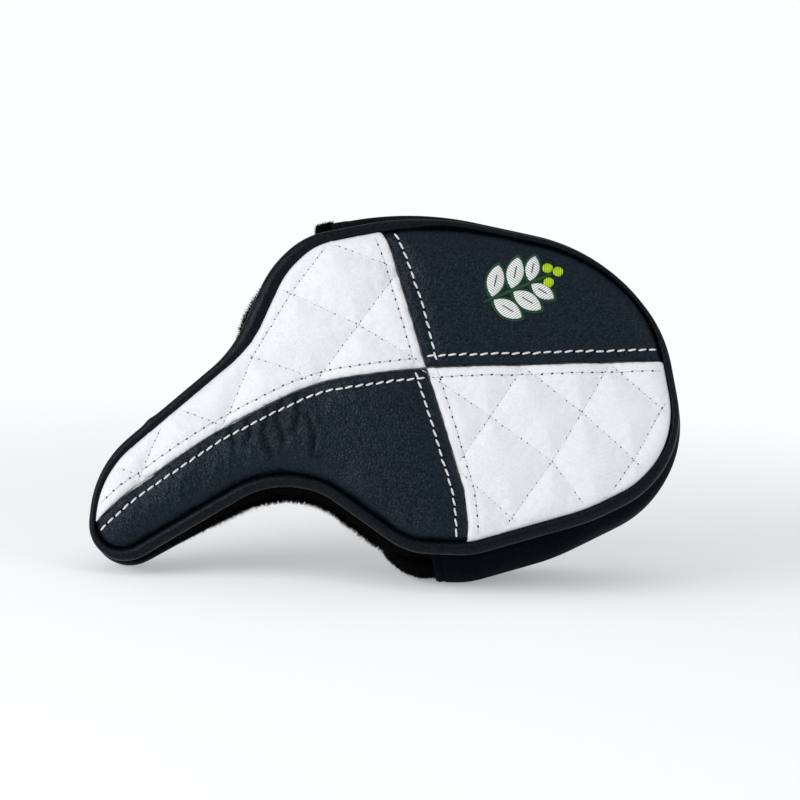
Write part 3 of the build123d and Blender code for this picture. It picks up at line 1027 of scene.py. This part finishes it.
def swell(ring):
    """How far the fleece stands out: hardly over the toe, and most in the arch of the sole."""
    open_part = 1 / (1 + np.exp(-(tailward(ring) - OPEN_FROM) / OPEN_OVER))
    sole = smoothed(1.0 - over_seam(ring), 9) * np.clip((ring[:, 0] - TAIL_X) / (ARCH_X - TAIL_X), 0, 1)
    waist = np.exp(-((np.linalg.norm(ring - WAIST, axis=1) / WAIST_LONG) ** 2))
    return OUT_TOE + open_part * (OUT_OPEN + OUT_SOLE * sole + OUT_WAIST * waist)


for (where, side), seed in zip(SIDES.items(), (11, 12)):
    top, back = level(FLEECE_TOP), level(FLEECE_BACK)
    piece, first_rim_face = pad(f"{where}_fleece", FLEECE_IN, FLEECE_GRID, top, back, swell, side)

    def on_open_rim(points, owner):
        return (owner >= first_rim_face) & (past_bend(points) > PILE_FROM)

    add_pile(piece, on_open_rim, RIM_PILE, seed)
    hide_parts(f"{where}_lining_body", f"{where}_lining_flap")
    bend_with_flap(piece)
    made.setdefault("fleece", []).append(piece)

# %% [markdown]
# ## Gusset
#
# The gusset is the strip between the two faces, round the toe. It stands out from the seams in
# a low roof, and its rear slope lies flat on the table and carries the cover. Its grid has one
# row of points for each place along the edge, and each column follows the edge at its own
# distance. Bisecting it beside the bend line cuts it to length.

# %% Gusset sheet
REST_BULGE, SEAM_BULGE = 8.5, -0.8  # mm that the roof stands out: in its middle, and at the seams
PUFF, PUFF_SKEW = 1.1, 1.3  # the fleece makes each slope a soft roll, highest near the seam
FLAT_TO = 17.0  # the roof's slopes are straight up to here, measured from the middle
RIDGE_ROUND, RIDGE_LOW = 1.4, 0.3  # the ridge is rounded, and a little lower for it
ARC_POINTS = 14


def roof(depth):
    """How far the gusset stands out at this distance from the middle of the cover."""
    near = math.sqrt(depth * depth + RIDGE_ROUND) - RIDGE_LOW
    puff = PUFF * math.sin(math.pi * min(depth / FLAT_TO, 1.0) ** PUFF_SKEW)
    share = min(max((depth - FLAT_TO) / (HALF_WIDTH - FLAT_TO), 0), 1)
    share = share * share * (3 - 2 * share)
    slope = 1 - near * math.tan(LEAN) / REST_BULGE
    return lambda bulge: (bulge * slope + puff) * (1 - share) + SEAM_BULGE * share


def gusset_sheet(name, half, columns, inset):
    """The whole ring of the gusset between y = -half and half, as an upright sheet in mm."""
    ys = half * np.sin(np.linspace(-math.pi / 2, math.pi / 2, columns))  # closer at the seams
    rules = [roof(abs(y)) for y in ys]
    rings = [rounded(moved_corners(lambda bulge: rule(bulge) - inset), fixed=ARC_POINTS) for rule in rules]
    rows = len(rings[0])
    only()
    bpy.ops.mesh.primitive_grid_add(x_subdivisions=rows, y_subdivisions=columns - 1, size=1)
    sheet = bpy.context.object
    sheet.name = name
    order = np.round((coordinates(sheet)[:, :2] + 0.5) * (rows, columns - 1)).astype(int)
    set_coordinates(sheet, [(rings[j][i % rows][0], ys[j], rings[j][i % rows][1]) for i, j in order])
    return edit(sheet, (bpy.ops.mesh.remove_doubles, {"threshold": 0.01}))


def cut(sheet, *planes):
    """Cuts the sheet at each plane and drops the side to which the plane's normal points."""
    cuts = [{"plane_co": spot, "plane_no": normal, "clear_outer": True} for spot, normal in planes]
    return edit(sheet, *((bpy.ops.mesh.bisect, settings) for settings in cuts))


def cut_beside_bend(sheet, end, start=None):
    """Keeps the sheet up to end mm tailward of the bend line, and from start on if it is given."""
    tail = Vector((hinge_tailward[0], 0, hinge_tailward[1]))
    marks = [(end, tail)] + ([] if start is None else [(start, -tail)])
    return cut(sheet, *((Vector((HINGE_X, 0, 0)) + tail * mark, normal) for mark, normal in marks))


def keep_end(sheet, upper):
    return cut(sheet, ((0, 0, CROSSING[1]), (0, 0, -1 if upper else 1)))


print("in its middle the gusset stands out", round(roof(0.0)(REST_BULGE), 1), "mm")

# %% Gusset leather and the bindings at its ends
BAND_HALF, BINDING_HALF = 18.7, 18.2  # half the width of each sheet
SETBACK, BINDING, BINDING_WIDTH = 1.0, 2.2, 3.0
TUCKED, BINDING_OUT = 0.6, 0.35  # mm of the leather inside the binding, and how far that stands out


def stand_up(sheet):
    """Turns the sheet's faces outward, leans it back and sets it on the table, in metres."""
    edit(sheet, FACES_OUT)
    middle = Vector((30, 0, HALF_UP))
    if sum(p.area * p.normal.dot(p.center - middle) for p in sheet.data.polygons) < 0:
        sheet.data.flip_normals()
    placed = stand(*coordinates(sheet).T)
    placed[:, 2] = np.maximum(placed[:, 2], 0.0)
    set_coordinates(sheet, placed)
    return sheet


def soften(sheet, thick):
    """Thickness in mm, inwards, with a turned edge."""
    apply_modifier(sheet, "SOLIDIFY", thickness=thick / 1000, offset=-1.0)
    apply_modifier(sheet, "SUBSURF", levels=1, render_levels=1)
    sheet.data.shade_smooth()
    return sheet


band = gusset_sheet("gusset_leather_band", BAND_HALF, columns=37, inset=0.0)
soften(stand_up(cut_beside_bend(band, -SETBACK - BINDING_WIDTH + TUCKED)), LEATHER)
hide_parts("gusset_leather")
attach(band, "body")
made["navy_leather"].append(band)

for end, upper in (("top", True), ("bottom", False)):
    strip = gusset_sheet(f"gusset_end_binding_{end}", BINDING_HALF, columns=27, inset=-BINDING_OUT)
    keep_end(cut_beside_bend(strip, -SETBACK, -SETBACK - BINDING_WIDTH), upper)
    soften(stand_up(strip), BINDING)
    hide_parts(f"gusset_binding_{end}")
    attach(strip, "body")
    made["navy_leather"].append(strip)
print("gusset:", len(band.data.polygons), "faces")

# %% [markdown]
# The gusset is lined too. Its fleece sticks out past the leather as a cuff, long at the sole
# and short at the top, so the putter never meets a bare edge.

# %% Fleece of the gusset
LINING_HALF, CUFF_HALF, CUFF_INSIDE = 12.8, 9.4, 6.0  # half widths, and how far a cuff is tucked in
FLEECE, FLEECE_GAP = 5.0, 0.2  # its thickness, and the gap it leaves under the leather
HANGS_FROM = -1.5  # the pile of a cuff begins here, in mm past the bend line
CURL_FROM, CURL_UP = 1.5, 0.034  # the long cuff curls up from the table
# each cuff: is it the upper one, how far it hangs out, and how far inside the gusset it lies
CUFFS = {"cuff_top": (True, 2.9, LEATHER - 1.4), "cuff_bottom": (False, 11.4, LEATHER + 0.5)}

lining_band = gusset_sheet("gusset_fleece", LINING_HALF, columns=11, inset=LEATHER + FLEECE_GAP)
cut_beside_bend(lining_band, -SETBACK - 1.0)
cuffs = []
for name, (upper, out, inset) in CUFFS.items():
    cuff = gusset_sheet(name, CUFF_HALF, columns=9, inset=inset)
    cuffs.append(keep_end(cut_beside_bend(cuff, out, -SETBACK - CUFF_INSIDE), upper))
for sheet in [lining_band] + cuffs:
    stand_up(sheet)
    if sheet is cuffs[-1]:
        co = coordinates(sheet)
        co[:, 2] += CURL_UP * np.maximum(past_bend(co) - CURL_FROM, 0) ** 2 / 1000
        set_coordinates(sheet, co)
    soften(sheet, FLEECE)


def hanging_out(points, owner):
    return past_bend(points) > HANGS_FROM


for cuff, long, seed in zip(cuffs, (1.0, 1.2), (21, 22)):
    add_pile(cuff, hanging_out, long, seed)
only(*cuffs, lining_band)
bpy.ops.object.join()
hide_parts("gusset_lining")
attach(lining_band, "body")
made["fleece"].append(lining_band)
print(lining_band.name, len(lining_band.data.polygons), "faces")

# %% [markdown]
# ## The embroidered sprig
#
# Satin stitch lays threads side by side across a shape, so each leaf is a low cushion with a
# groove between its threads. One leaf is a grid bent into the outline of a leaf, half on each
# side of its midrib, and a thin dark green cord of stitches runs round it.

# %% A shape in satin stitch
SUNK = 0.12  # mm that its edge lies under the top of the leather
SATIN_THICK, SATIN_FULL = 0.25, 1.6  # mm, and how soon the shape is full where it widens


def heading(degrees):
    return np.array((math.cos(math.radians(degrees)), math.sin(math.radians(degrees))))


def stitched_shape(base, angle, length, width, rise, blunt, along=36, across=12):
    """A raised leaf of satin stitches; its UV map runs along and across it in millimetres."""
    only()
    bpy.ops.mesh.primitive_grid_add(x_subdivisions=along, y_subdivisions=across, size=1, calc_uvs=True)
    leaf = bpy.context.object
    share, side_way = (coordinates(leaf)[:, :2] * (1, 2) + (0.5, 0.0)).T
    half = width / 2 * np.sin(math.pi * np.clip(share, 0.003, 0.997)) ** blunt
    x, y, (c, s) = share * length, side_way * half, heading(angle)
    uv = np.array(base) + np.stack((c * x - s * y, s * x + c * y), axis=1)
    crown = rise * np.sqrt(np.clip(1 - side_way**2, 0, 1)) * np.clip(half / (width / 2) * SATIN_FULL, 0, 1) ** 0.5
    set_coordinates(leaf, place(uv, leather_height(uv) + crown - SUNK, 1))
    mesh = leaf.data
    loops = np.zeros(len(mesh.loops), dtype=int)
    mesh.loops.foreach_get("vertex_index", loops)
    mesh.uv_layers[0].data.foreach_set("uv", np.stack((x, y), axis=1)[loops].ravel())
    mesh.shade_smooth()
    if sum(p.normal.y for p in mesh.polygons) > 0:
        mesh.flip_normals()
    apply_modifier(leaf, "SOLIDIFY", thickness=SATIN_THICK / 1000, offset=-1.0)
    return leaf


print("satin stitches are", SATIN_THICK, "mm thick")

# %% Leaves, stem and berries
SPRIG, SPRIG_LENGTH = np.array((34.0, 85.5)), 24.0
SPRIG_ANGLE, LEAF_SPREAD = 25.0, 55.0
LEAVES = [(0.12, 10.8), (0.38, 10.8), (0.62, 8.9)]  # place along the stem, and length
LEAF_WIDE, BERRY, STEM_WIDE = 0.52, 3.24, 1.45  # a share of the leaf's length, and mm
BERRIES = [(1.0, 0.0), (0.9, 2.1), (0.84, -1.95)]  # place along the stem, and mm beside it
# a leaf has two layers: mm that each is shifted, longer and wider, its rise and its bluntness
LAYERS = {"outlines": (-0.5, 1.1, 1.3, 0.34, 0.7), "leaves": (0.55, -0.9, 0.0, 0.62, 0.75)}
VEIN_FROM, VEIN_LONG, VEIN_WIDE = 0.3, 0.42, 0.45  # shares of the leaf's length, and mm

ahead = heading(SPRIG_ANGLE)


def on_stem(share, aside=0.0):
    return SPRIG + ahead * (share - 0.5) * SPRIG_LENGTH + np.array((-ahead[1], ahead[0])) * aside


sprig = {"leaves": [], "outlines": [], "stem": [], "berries": []}
for share, length in LEAVES:
    for hand in (1, -1):
        angle, wide = SPRIG_ANGLE + hand * LEAF_SPREAD, length * LEAF_WIDE
        base, way = on_stem(share), heading(angle)
        for name, (shift, longer, wider, rise, blunt) in LAYERS.items():
            shape = (base + way * shift, angle, length + longer, wide + wider, rise, blunt)
            sprig[name].append(stitched_shape(*shape))
        start = base + way * length * VEIN_FROM
        vein = stitched_shape(start, angle, length * VEIN_LONG, VEIN_WIDE, rise=0.85, blunt=0.6, along=14, across=6)
        sprig["stem"].append(vein)
stem = stitched_shape(on_stem(0.0), SPRIG_ANGLE, SPRIG_LENGTH, STEM_WIDE, rise=0.6, blunt=0.25, along=60, across=8)
sprig["stem"].append(stem)
for share, aside in BERRIES:
    start = on_stem(share, aside) - ahead * BERRY / 2
    berry = stitched_shape(start, SPRIG_ANGLE, BERRY, BERRY, rise=0.85, blunt=0.5, along=20, across=14)
    sprig["berries"].append(berry)

for name, parts in sprig.items():
    only(*parts)
    bpy.ops.object.join()
    whole = sprig[name] = bpy.context.object
    whole.name = f"sprig_{name}"
    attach(whole, "body")
    print(whole.name, len(whole.data.polygons), "faces")
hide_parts("front_sprig")

# %% [markdown]
# ## Materials
#
# Every finish is a node material with a pattern in real millimetres. One function turns a hex
# colour, as a designer writes it, into the linear numbers that Blender mixes, and one adds a
# node with its settings and its links. A socket goes by its name, or by its number where a
# node has several of one name: a Mix blends 6 and 7 by 0, and a Map Range takes its input at
# 0 and turns the range from 1 to 2 into the range from 3 to 4.

# %% Colours and nodes
def linear(code):
    channels = [int(code[i : i + 2], 16) / 255 for i in (1, 3, 5)]
    return tuple(c / 12.92 if c <= 0.04045 else ((c + 0.055) / 1.055) ** 2.4 for c in channels) + (1.0,)


def connect(node, sockets):
    """Gives each socket a plain value, or another node's output; a node stands for its first one."""
    for socket, value in sockets.items():
        value = value.outputs[0] if isinstance(value, bpy.types.Node) else value
        if isinstance(value, bpy.types.NodeSocket):
            node.id_data.links.new(value, node.inputs[socket])
        else:
            node.inputs[socket].default_value = value


def add_node(owner, kind, sockets=None, **settings):
    node = owner.node_tree.nodes.new("ShaderNode" + kind)
    for key, value in settings.items():
        setattr(node, key, value)
    connect(node, sockets or {})
    return node


def new_material(name):
    """A material with its main shader joined to its output, and the place on the object."""
    material = bpy.data.materials.new(name)
    material.use_nodes = True
    material.node_tree.nodes.clear()
    shader = add_node(material, "BsdfPrincipled")
    add_node(material, "OutputMaterial", {"Surface": shader})
    return material, shader, add_node(material, "TexCoord").outputs["Object"]


print("a mid grey is", round(linear("#808080")[0], 3), "in linear light")

# %% [markdown]
# The leather is full-grain cowhide with a pressed, sealed finish. That gives the eye small
# round pebbles with fine valleys between them, a few longer creases, and a soft gloss that is
# duller in the valleys. The white hide is pressed finer than the navy one.
#
# Two more things show on the navy hide. Where the long patch is bent by hand it is worn into
# upright folds, and in the creases and beside the piping shade is painted in, nearly black and
# without gloss, by the mesh's attribute.

# %% Leather
WORN_X, WORN_FROM, WORN_TO = -43.0, 8.0, 34.0  # the middle of the worn part, and where it fades, in mm
FOLD_MM, FOLD_TALL = 3.2, 0.45  # folds are as far apart as this, and stretched upwards
MOTTLE_MM = 18.0  # the hide's own uneven tone


def hide(name, dark, light, grain_mm, crease_mm, grain_deep, crease_deep, rough, gloss, worn=0.0, shine="#ffffff"):
    """Leather; worn is how deep, in mm, the folds are where the flaps are bent by hand."""
    material, shader, spot = new_material(name)
    slow = add_node(material, "TexNoise", {"Vector": spot, "Scale": 1000 / MOTTLE_MM, "Detail": 3.0})
    # pebbles: cells pushed out of line by a noise four grains wide
    warp = add_node(material, "TexNoise", {"Vector": spot, "Scale": 250 / grain_mm, "Detail": 2.0}).outputs["Color"]
    uneven = {0: warp, 1: (grain_mm * 0.0009,) * 3, 2: spot}
    uneven = add_node(material, "VectorMath", uneven, operation="MULTIPLY_ADD")
    cells = {"Vector": uneven, "Scale": 1000 / grain_mm, "Randomness": 1.0}
    pebble = add_node(material, "TexVoronoi", cells, feature="SMOOTH_F1").outputs["Distance"]
    # colour: mottled, and painted nearly black as shade in the creases and beside the piping
    tone = add_node(material, "Math", {0: slow, 1: pebble}, operation="MULTIPLY")
    tone = add_node(material, "MapRange", {0: tone, 1: 0.1, 2: 0.5, 3: 1.0, 4: 0.0})
    colour = add_node(material, "Mix", {0: tone, 6: linear(dark), 7: linear(light)}, data_type="RGBA").outputs[2]
    shade = add_node(material, "Attribute", attribute_name="crease_shade").outputs["Fac"]
    colour = add_node(material, "Mix", {0: shade, 6: colour, 7: linear("#000101")}, data_type="RGBA").outputs[2]
    # gloss: least in the valleys and none where shade is painted; the plain number is multiplied
    # last, because an exported model keeps only that
    lit = add_node(material, "MapRange", {0: pebble, 1: 0.15, 2: 0.6, 3: 1.15, 4: 0.65})
    bare = add_node(material, "Math", {0: 1.0, 1: shade}, operation="SUBTRACT")
    lit = add_node(material, "Math", {0: lit, 1: bare}, operation="MULTIPLY")
    lit = add_node(material, "Math", {0: lit, 1: gloss}, operation="MULTIPLY")
    roughness = add_node(material, "MapRange", {0: slow, 1: 0.3, 2: 0.7, 3: rough - 0.05, 4: rough + 0.06})
    # relief: worn folds, then creases, then pebbles
    along = add_node(material, "SeparateXYZ", {0: spot})
    aside = add_node(material, "Math", {0: along, 1: WORN_X / 1000}, operation="SUBTRACT")
    aside = add_node(material, "Math", {0: aside}, operation="ABSOLUTE")
    fade = {0: aside, 1: WORN_FROM / 1000, 2: WORN_TO / 1000, 3: worn / 1000, 4: 0.0}
    fade = add_node(material, "MapRange", fade, interpolation_type="SMOOTHSTEP")
    tall = add_node(material, "Mapping", {"Vector": spot, "Scale": (1.0, 1.0, FOLD_TALL)})
    fold = add_node(material, "TexNoise", {"Vector": tall, "Scale": 1000 / FOLD_MM, "Detail": 2.0})
    wrinkles = {"Vector": spot, "Scale": 1000 / crease_mm, "Detail": 4.0, "Roughness": 0.6, "Distortion": 0.8}
    crease = add_node(material, "TexNoise", wrinkles)
    relief = add_node(material, "Bump", {"Height": fold, "Strength": 1.0, "Distance": fade})
    relief = {"Height": crease, "Strength": 1.0, "Distance": crease_deep / 1000, "Normal": relief}
    relief = add_node(material, "Bump", relief)
    relief = {"Height": pebble, "Strength": 1.0, "Distance": grain_deep / 1000, "Normal": relief}
    relief = add_node(material, "Bump", relief, invert=True)
    connect(shader, {"Base Color": colour, "Specular IOR Level": lit, "Roughness": roughness, "Normal": relief})
    connect(shader, {"IOR": 1.48, "Specular Tint": linear(shine)})
    return material


white_hide = hide("white_full_grain_leather", "#d8dbdf", "#e4e6e9", 0.6, 2.2, 0.05, 0.14, 0.48, 0.35)
navy_hide = hide("navy_pebbled_leather", "#030c14", "#07161f", 0.6, 1.9, 0.30, 0.16, 0.33, 0.25, 1.2, "#eaf1ff")
navy_strip = hide("navy_piping_leather", "#04090f", "#060e15", 0.6, 1.6, 0.06, 0.20, 0.32, 0.15)
# painted shade: the gusset and its bindings are the navy hide painted darker and almost without gloss, as they face
# the table in the shade under the cover
navy_gusset_painted_shade = hide("navy_gusset_leather", "#04080c", "#070d13", 0.8, 2.4, 0.10, 0.14, 0.50, 0.005)
print("leathers:", [m.name for m in (white_hide, navy_hide, navy_strip, navy_gusset_painted_shade)])

# %% [markdown]
# The threads are bonded polyester: bold white for the topstitching, and a finer one that
# reads as pale grey against the white hide. A twist of two plies shows along each stitch, as
# a bump and as painted shade in the grooves between the plies.
# A needle hole is painted with the shade down in the hole: grey in the white leather and black
# in the navy.

# %% Threads and needle holes
def thread(name, dark, light, ply_mm, rough=0.6, sheen=0.15, gloss=0.5):
    material, shader, spot = new_material(name)
    plies = {"Vector": spot, "Scale": 300 / ply_mm, "Distortion": 1.5}
    twist = add_node(material, "TexWave", plies, bands_direction="DIAGONAL").outputs[1]
    # painted shade: the thread is darker in the grooves of its twist
    colour = add_node(material, "Mix", {0: twist, 6: linear(dark), 7: linear(light)}, data_type="RGBA").outputs[2]
    bump = add_node(material, "Bump", {"Height": twist, "Strength": 0.6, "Distance": 0.00012})
    connect(shader, {"Base Color": colour, "Normal": bump, "Roughness": rough})
    connect(shader, {"Sheen Weight": sheen, "Specular IOR Level": gloss})
    return material


FINISHES = {
    "white_leather": white_hide,
    "navy_leather": navy_hide,
    "thread": thread("white_polyester_thread", "#d3d6d9", "#eff1f2", 0.5),
    "fine_thread": thread("white_fine_polyester_thread", "#c9cccf", "#e4e6e8", 0.3),
    "quilt_thread": thread("pale_grey_polyester_thread", "#cfd2d4", "#e3e5e6", 0.3),
    # painted shade: each needle hole is coloured as the shade down in the hole
    "dark_hole": thread("dark_needle_hole_edge", "#23262b", "#3a3e44", 0.3, 0.8),
    "black_hole": thread("black_needle_hole_edge", "#010202", "#030506", 0.3, 0.9, 0.0, 0.03),
    "grey_hole": thread("grey_needle_hole_edge", "#4a4e53", "#66696e", 0.3, 0.8),
}
print("finishes so far:", ", ".join(FINISHES))

# %% [markdown]
# The embroidery thread is rayon, which shines across the stitches, so its pattern follows
# the UV map of each leaf, turned a little as the stitches are. Each thread is a ridge, and the
# gaps between the threads are painted dark, as the shade between them.

# %% Embroidery
def satin(name, dark, light, thread_mm, gap, sheen=0.0):
    """Rayon laid side by side, with painted shade in the dark lines between threads; a smaller gap makes them
    finer.
    """
    material, shader, _ = new_material(name)
    uv = add_node(material, "UVMap")
    turned = add_node(material, "Mapping", {"Vector": uv, "Rotation": (0, 0, math.radians(24))})
    threads = {"Vector": turned, "Scale": 0.314 / thread_mm, "Distortion": 0.6, "Detail": 1.0, "Detail Scale": 1.5}
    ridge = add_node(material, "TexWave", threads, bands_direction="X").outputs[1]
    full = add_node(material, "Math", {0: ridge, 1: gap}, operation="POWER")
    colour = add_node(material, "Mix", {0: full, 6: linear(dark), 7: linear(light)}, data_type="RGBA").outputs[2]
    bump = add_node(material, "Bump", {"Height": full, "Strength": 0.8, "Distance": 0.0002})
    connect(shader, {"Base Color": colour, "Normal": bump, "Roughness": 0.45})
    connect(shader, {"Specular IOR Level": 0.3, "Sheen Weight": sheen})
    return material


white_satin = satin("white_rayon_embroidery", "#6f7d78", "#f6f8f7", 0.62, 0.5, 0.2)
green_satin = satin("dark_green_rayon_embroidery", "#02200f", "#07462a", 0.5, 0.6)
lime_satin = satin("lime_rayon_embroidery", "#5d7d02", "#c3e60c", 0.62, 0.6)
print("embroidery:", white_satin.name, green_satin.name, lime_satin.name)

# %% [markdown]
# The fleece is knitted polyester pile, dark brown and nearly black, and dull but for a faint
# bloom where fibres catch the light. The wadding is pale needled felt. The magnets are nickel
# plated steel discs. Each is two near colours in a fine noise, and the fleece is clumped too.

# %% Fleece, wadding and magnets
def speckled(name, dark, light, noise, surface):
    """Two near colours in a fine noise; gives the material, its shader, its place and its noise."""
    material, shader, spot = new_material(name)
    speck = add_node(material, "TexNoise", {"Vector": spot, **noise})
    colour = add_node(material, "Mix", {0: speck, 6: linear(dark), 7: linear(light)}, data_type="RGBA").outputs[2]
    connect(shader, {"Base Color": colour, **surface})
    return material, shader, spot, speck


CLUMP_MM, CLUMP_HIGH, NEEDLE_MM, PLATING_MM = 1.6, 0.8, 1.2, 0.4  # the size of each pattern

fleece, shader, _, clump = speckled(
    "dark_brown_polyester_pile", "#020101", "#0b0807", {"Scale": 1000 / CLUMP_MM, "Detail": 3.0, "Roughness": 0.7},
    {"Roughness": 0.95, "Specular IOR Level": 0.04, "Sheen Weight": 0.02},
)
clumps = add_node(fleece, "Bump", {"Height": clump, "Strength": 1.0, "Distance": CLUMP_HIGH / 1000})
connect(shader, {"Normal": clumps})
felt = speckled(
    "white_needled_wadding", "#cfd0cc", "#ecece8", {"Scale": 1000 / NEEDLE_MM, "Detail": 4.0}, {"Roughness": 0.9},
)[0]
nickel = speckled(
    "nickel_plated_steel", "#a8a49b", "#bdb9b0", {"Scale": 1000 / PLATING_MM, "Detail": 2.0},
    {"Metallic": 1.0, "Roughness": 0.28},
)[0]

# %% Every piece gets its finish
FINISHES.update(fleece=fleece, foam=felt)
# the gusset band and its bindings take the navy leather with painted shade
STRIPS = {"piping": navy_strip, "band": navy_gusset_painted_shade, "top": navy_gusset_painted_shade, "bottom": navy_gusset_painted_shade}
SATINS = {"leaves": white_satin, "outlines": green_satin, "stem": green_satin, "berries": lime_satin}
finishing = [(piece, FINISHES[finish]) for finish, pieces in made.items() for piece in pieces]
finishing = [(piece, STRIPS.get(piece.name.rsplit("_", 1)[-1], material)) for piece, material in finishing]
finishing += [(sprig[name], material) for name, material in SATINS.items()]
finishing += [(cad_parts[f"{where}_magnet_{end}"], nickel) for where in SIDES for end in ("tail", "waist")]
for piece, material in finishing:
    piece.data.materials.clear()
    piece.data.materials.append(material)
print(len(finishing), "pieces finished")

# %% [markdown]
# ## Floor and light
#
# The cover stands on a white table in a light tent. Near the cover the table is plain paper
# that takes its shadow, and glows a little by itself, painted light that makes that shadow paler.
# Further out, where only the camera looks, it fades to the white of the tent, so no horizon shows.

# %% Floor
TENT_WHITE = linear("#fdfeff")
PAPER_PAINTED_GLOW = 0.32  # painted light: the paper glows by itself, which makes the cover's shadow on it paler
FADE_FROM, FADE_TO = 0.19, 0.42  # metres from the cover at which the paper turns white

only()
bpy.ops.mesh.primitive_circle_add(vertices=96, radius=12.0, fill_type="NGON", location=(0, 0, 0))
floor = bpy.context.object
floor.name = "table_top"
# painted light: the paper is a little grey and glows, so its lit part stays white and its shadow is paler
paper, shader, spot, _ = speckled(
    "white_paper_sweep", "#e1e3e5", "#e4e5e6", {"Scale": 3.0, "Detail": 1.0},
    {"Roughness": 0.9, "Specular IOR Level": 0.1, "Emission Color": TENT_WHITE, "Emission Strength": PAPER_PAINTED_GLOW},
)
moved = add_node(paper, "VectorMath", {0: spot, 1: (0.0, 0.06, 0.0)}, operation="ADD")
away = add_node(paper, "VectorMath", {0: moved}, operation="LENGTH").outputs["Value"]
fade = add_node(paper, "MapRange", {0: away, 1: FADE_FROM, 2: FADE_TO}, interpolation_type="SMOOTHSTEP")


def seen_by(owner, *kinds):
    """1 for the kinds of ray that look at the surroundings, and 0 for light on the cover."""
    rays = add_node(owner, "LightPath")
    seen = rays.outputs[kinds[0]]
    for kind in kinds[1:]:
        seen = add_node(owner, "Math", {0: seen, 1: rays.outputs[kind]}, operation="MAXIMUM").outputs[0]
    return seen


seen = seen_by(paper, "Is Camera Ray", "Is Glossy Ray", "Is Transmission Ray")
far = add_node(paper, "Math", {0: fade, 1: seen}, operation="MULTIPLY")
glow = add_node(paper, "Emission", {"Color": TENT_WHITE, "Strength": 1.0})
both = add_node(paper, "MixShader", {0: far, 1: shader, 2: glow})
connect(paper.node_tree.nodes["Material Output"], {"Surface": both})
floor.data.materials.append(paper)
print("the paper turns white", FADE_TO, "m from the cover")

# %% Light
TENT = 0.45  # how strongly the tent lights the cover
AIM = Vector((0, 0, 0.05))  # the lamps point here, in metres

bpy.context.scene.view_settings.view_transform = "Standard"
world = bpy.data.worlds.new("light_tent")
world.use_nodes = True
bpy.context.scene.world = world
world.node_tree.nodes.clear()
strength = add_node(world, "MapRange", {0: seen_by(world, "Is Camera Ray", "Is Transmission Ray"), 3: TENT, 4: 1.0})
sky = add_node(world, "Background", {"Color": TENT_WHITE, "Strength": strength})
add_node(world, "OutputWorld", {"Surface": sky})

# name: place and size in metres, and power in watts
SOFTBOXES = {
    "left_box": ((-0.8, -0.55, 0.47), (0.8, 0.6), 6.5),
    "right_box": ((0.8, -0.5, 0.5), (0.6, 0.6), 1.8),
    "top_box": ((0.0, -0.4, 0.8), (0.8, 0.6), 0.7),
}
for name, (spot, (wide, high), power) in SOFTBOXES.items():
    data = bpy.data.lights.new(name, "AREA")
    data.shape, data.size, data.size_y, data.energy = "RECTANGLE", wide, high, power
    lamp = bpy.data.objects.new(name, data)
    bpy.context.collection.objects.link(lamp)
    lamp.location = spot
    lamp.rotation_euler = (AIM - Vector(spot)).to_track_quat("-Z", "Y").to_euler()
    print(name, power, "W")
